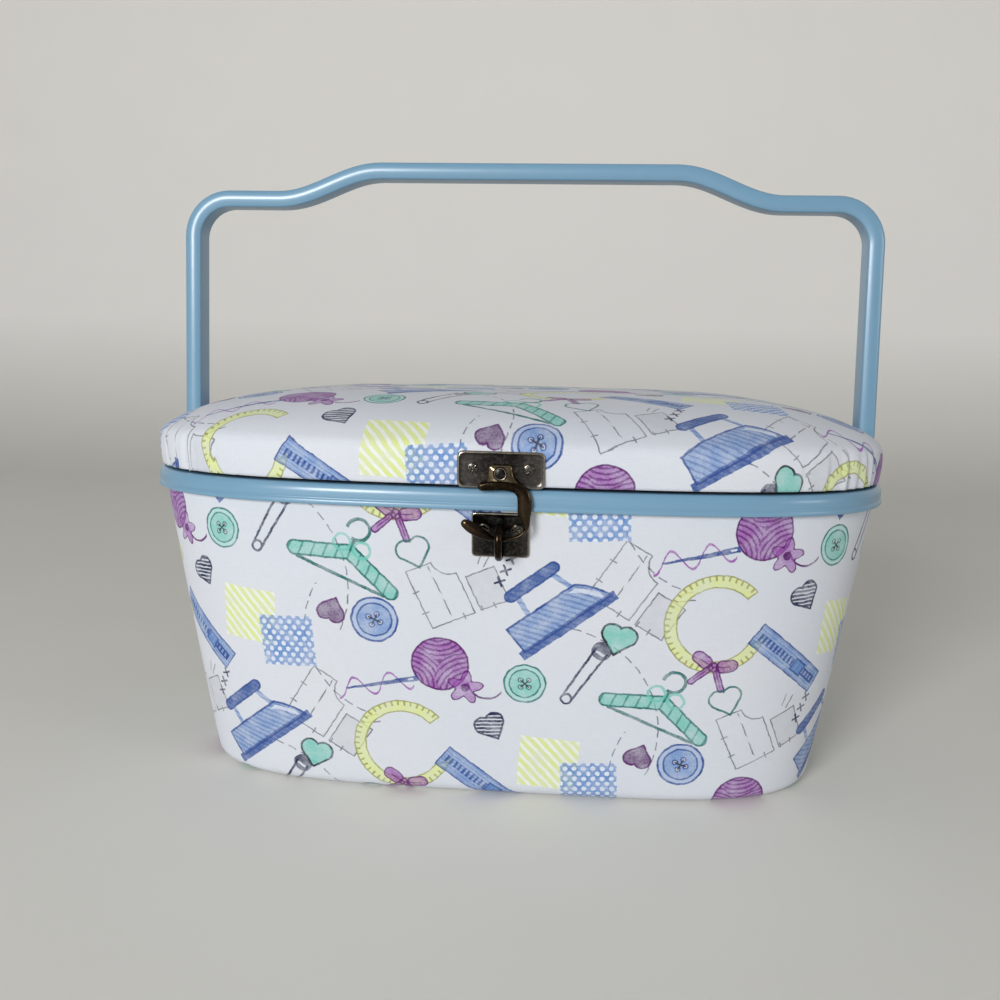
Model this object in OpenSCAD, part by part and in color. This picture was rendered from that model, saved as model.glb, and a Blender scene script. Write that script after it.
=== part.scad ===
// Fabric-covered sewing basket: a tapered box with a moulded rim, one padded lid on two rear
// hinges, a swing hook at the front, a fold-down carrying handle and a lift-out tray.
// Millimetres, +Z up, front towards -Y, origin at the centre of the underside.

/* [Case] */
// Length of the rim, left to right
case_l = 320; // [290:1:350]
// Depth of the rim, front to back
case_d = 250; // [230:1:270]
// Height of the rim's top above the table
case_h = 133; // [115:1:155]
// Length of the underside
foot_l = 274; // [255:1:300]
// Depth of the underside
foot_d = 193; // [180:1:215]
// Squareness of the rim's outline, where 2 is an ellipse
rim_square = 3.6; // [3.3:0.1:4.6]
// Squareness of the underside's outline
foot_square = 4.4; // [3.8:0.1:5.5]
// Rounding of the bottom edge
foot_r = 5.5; // [4.5:0.1:7]
// Thickness of the wall's board
wall_t = 2.2; // [1.8:0.1:3]
// Thickness of the floor's board
floor_t = 3; // [2:0.1:5]
// Thickness of the fabric outside
cover_t = 0.8; // [0.6:0.1:1.2]
// Thickness of the fabric inside
lining_t = 0.6; // [0.4:0.1:1]

/* [Rim] */
// Height of the rim's outer band
rim_h = 8; // [7:0.1:11]
// How far the rim stands proud of the covered wall
rim_proud = 3; // [2.5:0.1:4]
// Thickness of the rim over the wall's top edge
rim_top_t = 2.6; // [2:0.1:3.5]
// Thickness of the rim's inner skirt
skirt_t = 2.2; // [1.6:0.1:3]
// Height of the rim's inner skirt
skirt_h = 11; // [10:0.1:13]
// Width of the ledge that carries the tray
ledge_w = 6; // [4:0.1:8]
// Thickness of that ledge
ledge_t = 2; // [1.6:0.1:3]

/* [Lid] */
// Gap between the rim and the closed lid
lid_gap = 1.2; // [0.8:0.1:2]
// How far the lid's side lies inside the rim's outline
lid_inset = 1; // [0.5:0.1:1.5]
// How much further the lid's bottom edge is drawn in
lid_tuck = 0.6; // [0:0.1:1.2]
// Height of the lid's upright side
lid_side_h = 14.6; // [14.2:0.1:20]
// Rise of the padding from the top of the lid's side to its middle
lid_crown = 18; // [14:0.5:22]
// Thickness of the lid's board
lid_board_t = 2.2; // [1.8:0.1:3]

/* [Handle] */
// Height of the grip's top above the table
handle_top = 272.5; // [255:0.5:300]
// Thickness of the handle's band
handle_t = 7.8; // [6.5:0.1:9]
// Width of the handle's band, front to back
handle_w = 14.5; // [12:0.5:18]
// Clear gap between the rim's ends and the handle's legs
handle_gap = 1.1; // [1:0.1:2]
// How far each leg leans in from its pivot to its upper corner
handle_lean = 2.1; // [0:0.1:2.3]
// Centre-line radius of the handle's upper corners
handle_corner_r = 18.5; // [14:0.5:24]
// How far the shoulders lie below the grip
handle_drop = 13.5; // [8:0.5:20]
// Length of the grip's flat middle
grip_l = 140; // [110:1:160]
// Length of each curve from the grip down to a shoulder
grip_curve_l = 50; // [35:1:60]
// Depth of the handle's pivots below the rim's top
pivot_drop = 7.5; // [7.2:0.1:9]
// Radius of the handle's pivot pins
pivot_r = 3; // [2.5:0.1:3.5]
// Radius of the eye at the foot of each leg
eye_r = 9; // [8:0.1:11]
// Radius of the bosses that the eyes turn against
boss_r = 6.5; // [5.5:0.1:6.9]
// Radius of the pivot pins' domed heads
pivot_head_r = 5.5; // [4.5:0.1:7]
// Height of those heads
pivot_head_h = 2; // [1.4:0.1:3]

/* [Latch] */
// Width of the plate on the lid
keeper_l = 32.8; // [31:0.5:40]
// Height of the plate on the lid
keeper_h = 13.8; // [12.6:0.1:14.2]
// Width of the plate on the case
catch_l = 22; // [20:0.2:28]
// Height of the plate on the case
catch_h = 18; // [17.5:0.1:22]
// Thickness of the latch's plates
plate_t = 1; // [0.8:0.1:1.2]
// Distance of the hook's rivet above the lid's bottom edge
rivet_up = 5; // [4.5:0.1:6.5]
// Radius of the hook's rivet
rivet_r = 1.6; // [1.2:0.1:2]
// Radius of the rivet's head
rivet_head_r = 2.7; // [2.5:0.1:3.4]
// Thickness of the hook's sheet
hook_t = 1.4; // [1.2:0.1:1.8]
// Width of the hook's curved arm
hook_w = 4.6; // [3.8:0.1:5]
// Centre-line radius of the hook's curved arm
hook_arc_r = 14.8; // [14:0.1:15.5]
// Wire diameter of the staple
staple_wire = 2.2; // [1.6:0.1:2.4]
// Centre-line radius of the staple's bend
staple_r = 6.9; // [6.5:0.1:7.5]
// Radius of the small screws' heads
screw_head_r = 2.2; // [1.8:0.1:2.3]
// Radius of the small screws' shanks
screw_r = 1; // [0.8:0.1:1.2]
// Height of the small screws' heads
screw_head_h = 0.8; // [0.6:0.1:1]

/* [Hinges] */
// Distance between the two hinges, middle to middle
hinge_span = 160; // [130:1:165]
// Width of each hinge
hinge_l = 30; // [26:0.5:36]
// Height of the leaves on the lid
upper_leaf_h = 11.5; // [10:0.5:13]
// Thickness of the leaves
leaf_t = 1; // [0.8:0.1:1.2]
// Radius of the knuckles
knuckle_r = 2.2; // [2:0.1:2.6]
// Radius of the hinge pins
hinge_pin_r = 1.1; // [0.9:0.1:1.3]

/* [Tray] */
// Height of the lift-out tray
tray_h = 34; // [22:0.5:45]
// Thickness of the tray's walls
tray_wall = 1.6; // [1.2:0.1:2.4]
// Thickness of the tray's flange
tray_flange_t = 2; // [1.4:0.1:2.6]

/* [Lid fittings] */
// Length of the pincushion inside the lid
cushion_l = 84; // [60:1:110]
// Width of the pincushion
cushion_w = 56; // [40:1:80]
// Height of the pincushion
cushion_h = 8; // [5:0.5:8.5]
// Length of the pocket inside the lid
pocket_l = 130; // [90:1:140]
// Width of the pocket
pocket_w = 90; // [60:1:120]
// Thickness of the pocket
pocket_t = 2.2; // [1.4:0.1:3]

/* [Fits] */
// Radial clearance of what turns on a pin
run_fit = 0.05; // [0.02:0.01:0.09]
// Radial clearance of what is pressed or screwed in
press_fit = 0.02; // [0.01:0.01:0.04]
// Gap between layers that lie on each other
seat = 0.05; // [0.02:0.01:0.1]
// Gap between parts that move past each other
clear = 0.25; // [0.2:0.05:0.5]

/* [Hidden] */

// Points round an outline, and facets on true circles
outline_n = 72;
$fn = 48;

// Half sizes of the outlines, and where the wall meets the rim
rim_a = case_l / 2;
rim_b = case_d / 2;
foot_a = foot_l / 2;
foot_b = foot_d / 2;
neck_z = case_h - rim_h;
wall_top = case_h - rim_top_t - seat;

// Slopes of the walls: the steeper one, and the front wall's with its lean in degrees
end_slope = (rim_a - rim_proud - foot_a) / neck_z;
lean_run = (rim_b - rim_proud - foot_b) / neck_z;
wall_slope = max(end_slope, lean_run);
lean = atan(lean_run);

// Insets of the wall's layers from its outer face
board_in = cover_t + seat;
board_end = board_in + wall_t;
lining_in = board_end + seat;
lining_end = lining_in + lining_t;
skirt_foot_z = case_h - skirt_h - ledge_t;
skirt_in = rim_proud + lining_end + 2 * seat + (neck_z - skirt_foot_z) * wall_slope;
skirt_end = skirt_in + skirt_t;
ledge_end = skirt_end + ledge_w;
skirt_z = case_h - skirt_h;
board_foot_z = foot_r - 3;
board_foot_in = board_in + 1.4;
floor_bevel_z = 2;
floor_z = cover_t + seat + floor_t + seat;

// Heights in the lid
lid_z = case_h + lid_gap;
lid_side_z = lid_z + lid_side_h;
lid_core_in = lid_inset + lid_tuck + cover_t + seat;
lid_hem_in = lid_core_in + lid_board_t;
lid_lining_in = lid_hem_in + seat;
lid_ceiling_z = lid_side_z - lid_board_t - seat - lining_t;
lid_face_y = rim_b - lid_inset;
lid_tuck_z = lid_z + lid_side_h * 0.35;
lid_tuck_in_z = lid_z + lid_side_h * 0.4;
crown_sizes = [1, 0.99, 0.97, 0.94, 0.9, 0.84, 0.76, 0.64, 0.46, 0.24, 0.05];
crown_power = 5.5;
edge_power = 1.1;

// Handle
handle_x = rim_a + handle_gap + handle_t / 2;
corner_x = handle_x - handle_lean;
pivot_z = case_h - pivot_drop;
shoulder_z = handle_top - handle_t / 2 - handle_drop;
boss_end = rim_a + handle_gap - clear;
eye_in = rim_a + handle_gap;
eye_out = eye_in + handle_t;
curve_start = grip_l / 2;
curve_end = curve_start + grip_curve_l;
pivot_inner = rim_a - skirt_end + clear;

// Latch
keeper_back = lid_face_y + seat;
keeper_front = keeper_back + plate_t;
rivet_z = lid_z + rivet_up;
hook_back = keeper_front + screw_head_h + clear;
hook_front = hook_back + hook_t;
hook_cx = -3.8;
hook_cz = rivet_z - 9;
hook_from = -124;
hook_to = 12;
hook_tab_w = 9.2;
hook_tab_up = 3.2;
lip_from = -8;
lip_low = 6.8;
lip_high = 3.2;
plate_square = 7;
keeper_lift = -0.8;
keeper_screw_x = 10.5;
keeper_screw_up = 1.6;
catch_screw_x = 6.3;
catch_screw_drop = 6.6;
catch_top = neck_z - 0.6;
catch_mid = catch_top - catch_h / 2;
staple_drop = 0.8;
staple_z = hook_cz - sqrt(pow(hook_arc_r, 2) - pow(hook_cx, 2)) - staple_drop;
catch_face_y = rim_b - rim_proud + seat + plate_t - (neck_z - staple_z) * lean_run;
staple_short = 2.4;
staple_leg = hook_front - catch_face_y - staple_short;
rivet_collar_r = rivet_r + 0.6;
rivet_head_h = 1.2;
screw_taper = 0.75;
screw_slot_w = 0.5;
head_slot_l = screw_head_r * 1.2;
hole_reach = 9;
wall_hole_reach = 6;
grip_in_board = 0.8;
grip_in_wall = 0.6;

// Hinges
leaf_back = rim_b + seat;
hinge_y = leaf_back + knuckle_r + clear;
hinge_z = case_h + lid_gap / 2;
knuckle_l = hinge_l / 3;
knuckle_gap = 0.15;
hinge_screw_x = hinge_l / 2 - 5;
upper_screw_drop = 3.4;
lower_screw_drop = 0.8;
lower_leaf_h = rim_h - 0.5;
upper_leaf_lift = 0.4;
web_z = hinge_z + knuckle_r * 0.4;
web_t = knuckle_r * 0.5;
lid_leaf_back = lid_face_y + seat;
hinge_xs = [-hinge_span / 2, hinge_span / 2];

// Tray
tray_seat = 0.1;
tray_flange_z = skirt_z + tray_seat;
tray_top = tray_flange_z + tray_flange_t;
tray_flange_gap = 0.6;
tray_flange_in = skirt_end + tray_flange_gap;
tray_body_gap = 1;
tray_in = ledge_end + tray_body_gap;
tray_row_w = 62;
tray_cells = [3, 2, 4];

// Fittings inside the lid
fitting_margin = 27;
lid_inner_a = rim_a - lid_lining_in - lining_t;
cushion_x = -(lid_inner_a - fitting_margin - cushion_l / 2);
pocket_x = lid_inner_a - fitting_margin - pocket_l / 2;
cushion_square = 3;
pocket_square = 6;
cushion_rings = [[0.3, 0], [0.62, 0.09], [0.86, 0.26], [0.98, 0.52], [1, 0.75], [0.94, 1]];

// Outline as a superellipse, a list of 2D points
function oval(a, b, n) = [
    for (i = [0 : outline_n - 1])
        let (t = 360 * i / outline_n, c = cos(t), s = sin(t))
            [a * sign(c) * pow(abs(c), 2 / n), b * sign(s) * pow(abs(s), 2 / n)]
];

// The same outline at height z
function level(points, z) = [for (p = points) [p[0], p[1], z]];

// Outline of the wall's outer face at height z, moved in by an inset
function wall_part(z) = min(z / neck_z, 1);
function wall_a(z) = foot_a + (rim_a - rim_proud - foot_a) * wall_part(z);
function wall_b(z) = foot_b + (rim_b - rim_proud - foot_b) * wall_part(z);
function wall_n(z) = foot_square + (rim_square - foot_square) * wall_part(z);
function wall_ring(z, inset) =
    level(oval(wall_a(z) - inset, wall_b(z) - inset, wall_n(z)), z);

// Outline of the rim moved in by an inset
function rim_oval(inset) = oval(rim_a - inset, rim_b - inset, rim_square);

// Inset of a rounded bottom edge of radius r about the bottom edge's centre
function edge_in(z, r) = foot_r - sqrt(max(0, r * r - pow(foot_r - z, 2)));

// Points joined ring by ring: capped at both ends, or joined round when closed. Each four-sided
// face is split from its lower left to its upper right, so that nested layers run alike.
module loft(rings, closed = false) {
    n = len(rings[0]);
    m = len(rings);
    spans = closed ? m : m - 1;
    sides = [
        for (k = [0 : spans - 1])
            for (i = [0 : n - 1])
                let (
                    next = (k + 1) % m,
                    j = (i + 1) % n,
                    low = k * n,
                    high = next * n,
                    rising = rings[next][0][2] >= rings[k][0][2]
                ) each rising
                    ? [[low + i, high + i, high + j], [low + i, high + j, low + j]]
                    : [[low + i, high + i, low + j], [high + i, high + j, low + j]]
    ];
    caps = closed ? [] : [
        [for (i = [0 : n - 1]) i],
        [for (i = [0 : n - 1]) m * n - 1 - i]
    ];
    polyhedron(points = [for (ring = rings) each ring], faces = concat(caps, sides));
}

// Flat ring between two insets of the rim's outline
module rim_ring(inset_out, inset_in, z0, z1) {
    translate([0, 0, z0]) linear_extrude(z1 - z0) difference() {
        polygon(rim_oval(inset_out));
        polygon(rim_oval(inset_in));
    }
}

// Solid slab of the rim's outline
module rim_slab(inset, z0, z1) {
    translate([0, 0, z0]) linear_extrude(z1 - z0) polygon(rim_oval(inset));
}

// Cylinder along Y from y0 to y1 at x, z
module y_rod(x, z, r, y0, y1) {
    translate([x, min(y0, y1), z]) rotate([-90, 0, 0]) cylinder(r = r, h = abs(y1 - y0));
}

// Cylinder along X from x0 to x1 at z, mirrored to both ends of the case
module end_rods(r, x0, x1) {
    for (side = [-1, 1])
        translate([side > 0 ? x0 : -x1, 0, pivot_z]) rotate([0, 90, 0])
            cylinder(r = r, h = x1 - x0);
}

// Screw along Y: its head's underside lies at y, and the head points to the side given
module y_screw(x, z, y, side, l) {
    translate([x, y, z]) rotate([side > 0 ? -90 : 90, 0, 0]) {
        difference() {
            cylinder(r1 = screw_head_r, r2 = screw_head_r * screw_taper, h = screw_head_h);
            for (turn = [0, 90])
                rotate(turn) translate([0, 0, screw_head_h])
                    cube([head_slot_l, screw_slot_w, screw_head_h], center = true);
        }
        translate([0, 0, -l]) cylinder(r = screw_r, h = l + seat);
    }
}

// Places of the screws and the rivet on the keeper, as [x, z]
keeper_screw_at = [for (side = [-1, 1]) [side * keeper_screw_x, rivet_z + keeper_screw_up]];
upper_screw_z = lid_z + upper_leaf_h - upper_screw_drop;
lower_screw_z = case_h - rim_h / 2 - lower_screw_drop;
hinge_screw_at = [for (x = hinge_xs) for (side = [-1, 1]) x + side * hinge_screw_x];
keeper_screw_l = keeper_front - (rim_b - lid_core_in) + lid_board_t * grip_in_board;
upper_screw_l = lid_leaf_back + leaf_t - (rim_b - lid_core_in) + lid_board_t * grip_in_board;
lower_screw_l = leaf_t + rim_proud * grip_in_board;
catch_screw_l = plate_t + board_in + wall_t * grip_in_wall;

// Placement of what lies on the leaning front wall: local -Y points out of the wall
module on_front_wall() {
    y = rim_b - rim_proud + seat - (neck_z - catch_mid) * lean_run;
    translate([0, -y, catch_mid]) rotate([lean, 0, 0]) children();
}

// Holes that the fasteners need
module lid_holes() {
    for (p = keeper_screw_at)
        y_rod(p[0], p[1], screw_r + press_fit, -lid_face_y - hole_reach,
            -lid_face_y + hole_reach);
    y_rod(0, rivet_z, rivet_r + press_fit, -lid_face_y - hole_reach,
            -lid_face_y + hole_reach);
    for (x = hinge_screw_at)
        y_rod(x, upper_screw_z, screw_r + press_fit, lid_face_y - hole_reach,
            lid_face_y + hole_reach);
}

module catch_holes() {
    on_front_wall() for (side = [-1, 1])
        y_rod(side * catch_screw_x, catch_h / 2 - catch_screw_drop, screw_r + press_fit,
            -wall_hole_reach, wall_hole_reach);
}

// Case

module side_wall() {
    color("burlywood") difference() {
        loft([
            wall_ring(board_foot_z, board_foot_in), wall_ring(foot_r, board_in),
            wall_ring(neck_z, board_in), wall_ring(wall_top, board_in),
            wall_ring(wall_top, board_end), wall_ring(neck_z, board_end),
            wall_ring(board_foot_z, board_end)
        ], closed = true);
        end_rods(pivot_r + press_fit, pivot_inner - wall_hole_reach, rim_a);
        catch_holes();
    }
}

module floor_board() {
    color("burlywood") loft([
        wall_ring(cover_t + seat, foot_r + seat),
        wall_ring(floor_bevel_z, board_end + seat),
        wall_ring(cover_t + seat + floor_t, board_end + seat)
    ]);
}

module side_cover() {
    bend = [0, 30, 60, 90];
    inner_r = foot_r - cover_t;
    color("lavender") difference() {
        loft(concat(
            [for (t = bend) let (z = foot_r * (1 - cos(t))) wall_ring(z, edge_in(z, foot_r))],
            [wall_ring(neck_z, 0), wall_ring(wall_top, 0)],
            [wall_ring(wall_top, cover_t), wall_ring(neck_z, cover_t)],
            [for (k = [0 : 3]) let (z = foot_r - inner_r * cos(bend[3 - k]))
                wall_ring(z, edge_in(z, inner_r))]
        ), closed = true);
        end_rods(pivot_r + press_fit, pivot_inner - wall_hole_reach, rim_a);
        catch_holes();
    }
}

module floor_cover() {
    color("dimgray") linear_extrude(cover_t)
        polygon(oval(foot_a - foot_r - seat, foot_b - foot_r - seat, foot_square));
}

module lining() {
    color("whitesmoke") difference() {
        loft([
            wall_ring(floor_z, lining_in), wall_ring(neck_z, lining_in),
            wall_ring(wall_top, lining_in), wall_ring(wall_top, lining_end),
            wall_ring(neck_z, lining_end), wall_ring(floor_z + lining_t, lining_end)
        ]);
        end_rods(pivot_r + press_fit, pivot_inner - wall_hole_reach, rim_a);
    }
}

module rim() {
    color("lightblue") difference() {
        union() {
            rim_ring(0, rim_proud - seat, neck_z, case_h);
            rim_ring(0, skirt_end, case_h - rim_top_t, case_h);
            rim_ring(skirt_in, skirt_end, skirt_foot_z, case_h);
            rim_ring(skirt_in, ledge_end, skirt_foot_z, skirt_z);
            end_rods(boss_r, rim_a - rim_proud + seat, boss_end);
        }
        end_rods(pivot_r + press_fit, pivot_inner - wall_hole_reach, boss_end + 1);
        for (x = hinge_screw_at)
            y_rod(x, lower_screw_z, screw_r + press_fit, rim_b - rim_proud - 1, rim_b + 1);
    }
}

module pivot_pins() {
    color("slategray") {
        end_rods(pivot_r, pivot_inner, eye_out + clear + seat);
        for (side = [-1, 1])
            translate([side * (eye_out + clear), 0, pivot_z]) rotate([0, side * 90, 0])
                cylinder(r1 = pivot_head_r, r2 = pivot_head_r * 0.6, h = pivot_head_h);
    }
}

// Latch on the case

module catch_plate() {
    color("darkgoldenrod") on_front_wall() difference() {
        translate([-catch_l / 2, -plate_t, -catch_h / 2]) cube([catch_l, plate_t, catch_h]);
        for (side = [-1, 1]) {
            y_rod(side * catch_screw_x, catch_h / 2 - catch_screw_drop,
                screw_r + press_fit, -2, 2);
            y_rod(0, staple_z - catch_mid + side * staple_r, staple_wire / 2 + press_fit, -2, 2);
        }
    }
}

module staple() {
    color("darkgoldenrod") on_front_wall() translate([0, -plate_t, staple_z - catch_mid]) {
        for (side = [-1, 1])
            y_rod(0, side * staple_r, staple_wire / 2, -staple_leg, plate_t - seat);
        translate([0, -staple_leg, 0]) rotate([0, -90, 0]) rotate([0, 0, 180])
            rotate_extrude(angle = 180) translate([staple_r, 0]) circle(d = staple_wire);
    }
}

module catch_screws() {
    color("gold") on_front_wall() for (side = [-1, 1])
        y_screw(side * catch_screw_x, catch_h / 2 - catch_screw_drop, -plate_t, -1,
            catch_screw_l);
}

// Hinges

module hinge_lower_leaves() {
    color("darkgoldenrod") for (x = hinge_xs) translate([x, 0, 0]) difference() {
        union() {
            translate([-hinge_l / 2, leaf_back, hinge_z - lower_leaf_h])
                cube([hinge_l, leaf_t, lower_leaf_h]);
            translate([-hinge_l / 2, leaf_back, hinge_z - knuckle_r])
                cube([hinge_l, hinge_y - leaf_back, leaf_t]);
            translate([-hinge_l / 2, hinge_y, hinge_z]) rotate([0, 90, 0])
                cylinder(r = knuckle_r, h = hinge_l);
        }
        translate([-knuckle_l / 2 - knuckle_gap, leaf_back - 1, hinge_z - knuckle_r - clear])
            cube([knuckle_l + 2 * knuckle_gap, 4 * knuckle_r, 4 * knuckle_r]);
        translate([-hinge_l / 2 - 1, hinge_y, hinge_z]) rotate([0, 90, 0])
            cylinder(r = hinge_pin_r + press_fit, h = hinge_l + 2);
        for (side = [-1, 1])
            y_rod(side * hinge_screw_x, lower_screw_z, screw_r + press_fit,
                leaf_back - 1, leaf_back + leaf_t + 1);
    }
}

module hinge_pins() {
    color("slategray") for (x = hinge_xs)
        translate([x - hinge_l / 2, hinge_y, hinge_z]) rotate([0, 90, 0])
            cylinder(r = hinge_pin_r, h = hinge_l);
}

module hinge_lower_screws() {
    color("gold") for (x = hinge_screw_at)
        y_screw(x, lower_screw_z, leaf_back + leaf_t, 1, lower_screw_l);
}

module hinge_upper_leaves() {
    color("darkgoldenrod") for (x = hinge_xs) translate([x, 0, 0]) difference() {
        union() {
            translate([-hinge_l / 2, lid_leaf_back, lid_z + upper_leaf_lift])
                cube([hinge_l, leaf_t, upper_leaf_h - upper_leaf_lift]);
            translate([-knuckle_l / 2, lid_leaf_back, web_z])
                cube([knuckle_l, hinge_y - lid_leaf_back, web_t]);
            translate([-knuckle_l / 2, hinge_y, hinge_z]) rotate([0, 90, 0])
                cylinder(r = knuckle_r, h = knuckle_l);
        }
        translate([-hinge_l / 2, hinge_y, hinge_z]) rotate([0, 90, 0])
            cylinder(r = hinge_pin_r + run_fit, h = hinge_l);
        for (side = [-1, 1])
            y_rod(side * hinge_screw_x, upper_screw_z, screw_r + press_fit,
                lid_leaf_back - 1, lid_leaf_back + leaf_t + 1);
    }
}

module hinge_upper_screws() {
    color("gold") for (x = hinge_screw_at)
        y_screw(x, upper_screw_z, lid_leaf_back + leaf_t, 1, upper_screw_l);
}

// Lid

module lid_board() {
    color("burlywood") difference() {
        rim_slab(lid_core_in, lid_z + cover_t + seat, lid_side_z);
        rim_slab(lid_hem_in, lid_z, lid_side_z - lid_board_t);
        lid_holes();
    }
}

// Rings over the lid's padding, for a surface that lies a depth inside the cover's face
function lid_crown_rings(depth) = [
    for (size = crown_sizes)
        let (inset = lid_inset + depth, rise = pow(1 - pow(size, crown_power), 1 / edge_power))
            level(oval((rim_a - inset) * size, (rim_b - inset) * size, rim_square),
                lid_side_z + (lid_crown - depth) * rise)
];

module lid_padding() {
    rings = lid_crown_rings(cover_t + seat);
    color("white") loft(concat(
        [level(rim_oval(lid_core_in), lid_side_z + seat)],
        [for (k = [1 : len(rings) - 1]) rings[k]]
    ));
}

module lid_cover() {
    inner = lid_crown_rings(cover_t);
    last = len(inner) - 1;
    color("lavender") difference() {
        loft(concat(
            [for (k = [0 : last]) inner[last - k]],
            [
                level(rim_oval(lid_inset + cover_t), lid_tuck_in_z),
                level(rim_oval(lid_core_in - seat), lid_z + cover_t),
                level(rim_oval(lid_hem_in - seat), lid_z + cover_t),
                level(rim_oval(lid_hem_in - seat), lid_z),
                level(rim_oval(lid_inset + lid_tuck), lid_z),
                level(rim_oval(lid_inset), lid_tuck_z)
            ],
            lid_crown_rings(0)
        ));
        lid_holes();
    }
}

module lid_lining() {
    color("whitesmoke") difference() {
        rim_slab(lid_lining_in, lid_z + cover_t + seat, lid_ceiling_z + lining_t);
        rim_slab(lid_lining_in + lining_t, lid_z, lid_ceiling_z);
    }
}

module pincushion() {
    color("firebrick") translate([cushion_x, 0, lid_ceiling_z - seat - cushion_h]) loft([
        for (p = cushion_rings)
            level(oval(cushion_l / 2 * p[0], cushion_w / 2 * p[0], cushion_square),
                cushion_h * p[1])
    ]);
}

module lid_pocket() {
    color("whitesmoke") translate([pocket_x, 0, lid_ceiling_z - seat - pocket_t])
        linear_extrude(pocket_t) polygon(oval(pocket_l / 2, pocket_w / 2, pocket_square));
}

// Latch on the lid

module keeper_plate() {
    z = lid_z + keeper_lift;
    color("darkgoldenrod") difference() {
        translate([0, -keeper_back, z + keeper_h / 2]) rotate([90, 0, 0])
            linear_extrude(plate_t) polygon(oval(keeper_l / 2, keeper_h / 2, plate_square));
        for (p = keeper_screw_at)
            y_rod(p[0], p[1], screw_r + press_fit, -keeper_front - 1, -keeper_back + 1);
        y_rod(0, rivet_z, rivet_r + press_fit, -keeper_front - 1, -keeper_back + 1);
    }
}

module hook_rivet() {
    color("gold") {
        y_rod(0, rivet_z, rivet_r, -hook_front - clear, -lid_face_y + lid_board_t);
        y_rod(0, rivet_z, rivet_collar_r, -hook_back + clear / 2, -keeper_front - seat);
        translate([0, -hook_front - clear / 2, rivet_z]) rotate([90, 0, 0])
            cylinder(r1 = rivet_head_r, r2 = rivet_head_r * 0.6, h = rivet_head_h);
    }
}

module keeper_screws() {
    color("gold") for (p = keeper_screw_at)
        y_screw(p[0], p[1], -keeper_front, -1, keeper_screw_l);
}

module hook() {
    color("darkgoldenrod") difference() {
        union() {
            translate([hook_cx, -hook_back, hook_cz]) rotate([90, 0, 0]) {
                rotate([0, 0, hook_from]) rotate_extrude(angle = hook_to - hook_from)
                    translate([hook_arc_r - hook_w / 2, 0]) square([hook_w, hook_t]);
                rotate([0, 0, hook_from]) translate([hook_arc_r, 0, 0])
                    cylinder(d = hook_w, h = hook_t);
            }
            translate([-hook_tab_w / 2, -hook_front, rivet_z - lip_low])
                cube([hook_tab_w, hook_t, lip_low + hook_tab_up]);
            translate([lip_from, -hook_front, rivet_z - lip_low])
                cube([hook_cx + hook_arc_r + hook_w / 4 - lip_from, hook_t,
                    lip_low - lip_high]);
        }
        y_rod(0, rivet_z, rivet_r + run_fit, -hook_front - 1, -hook_back + 1);
    }
}

// Handle

function half_path() = concat(
    [[handle_x, pivot_z], [handle_x, pivot_z + eye_r]],
    [for (t = [0 : 10 : 90]) [
        corner_x - handle_corner_r * (1 - cos(t)),
        shoulder_z - handle_corner_r * (1 - sin(t))
    ]],
    [for (u = [0 : 0.1 : 1]) [
        curve_end - grip_curve_l * u,
        shoulder_z + handle_drop * (1 - cos(180 * u)) / 2
    ]]
);

// Both edges of a band of thickness t along a path of 2D points
function band(path, t) =
    let (
        last = len(path) - 1,
        normals = [for (i = [0 : last])
            let (
                d = path[min(i + 1, last)] - path[max(i - 1, 0)],
                n = norm(d)
            ) [d[1] / n, -d[0] / n]],
        right = [for (i = [0 : last]) path[i] + normals[i] * t / 2],
        left = [for (i = [0 : last]) path[last - i] - normals[last - i] * t / 2]
    ) concat(right, left);

module handle() {
    half = half_path();
    last = len(half) - 1;
    path = concat(half, [for (i = [0 : last]) [-half[last - i][0], half[last - i][1]]]);
    color("lightblue") difference() {
        union() {
            translate([0, handle_w / 2, 0]) rotate([90, 0, 0])
                linear_extrude(handle_w) polygon(band(path, handle_t));
            end_rods(eye_r, eye_in, eye_out);
        }
        end_rods(pivot_r + run_fit, eye_in - 1, eye_out + 1);
    }
}

// Tray

module tray() {
    bottom = tray_top - tray_h;
    row_ends = [-rim_b, -tray_row_w / 2, tray_row_w / 2, rim_b];
    color("white") difference() {
        union() {
            rim_slab(tray_flange_in, tray_flange_z, tray_top);
            rim_slab(tray_in, bottom, tray_top);
        }
        for (row = [0 : 2]) {
            cell_l = 2 * rim_a / tray_cells[row];
            for (k = [0 : tray_cells[row] - 1])
                translate([0, 0, bottom + tray_wall]) linear_extrude(tray_h) intersection() {
                    polygon(rim_oval(tray_in + tray_wall));
                    translate([
                        -rim_a + k * cell_l + tray_wall / 2,
                        row_ends[row] + tray_wall / 2
                    ]) square([
                        cell_l - tray_wall,
                        row_ends[row + 1] - row_ends[row] - tray_wall
                    ]);
                }
        }
    }
}

side_wall();
floor_board();
side_cover();
floor_cover();
lining();
rim();
pivot_pins();
catch_plate();
staple();
catch_screws();
hinge_lower_leaves();
hinge_pins();
hinge_lower_screws();
lid_board();
lid_padding();
lid_cover();
lid_lining();
pincushion();
lid_pocket();
keeper_plate();
hook_rivet();
keeper_screws();
hinge_upper_leaves();
hinge_upper_screws();
hook();
handle();
tray();
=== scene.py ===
"""Dresses the sewing basket: printed covers, moulded plastic, bronze latch, lining and tray."""

import logging
import math
from dataclasses import dataclass, field
from enum import Enum
from typing import Callable, Sequence, Union

import bmesh
import bpy
import numpy as np
from mathutils import Matrix, Vector


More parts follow.
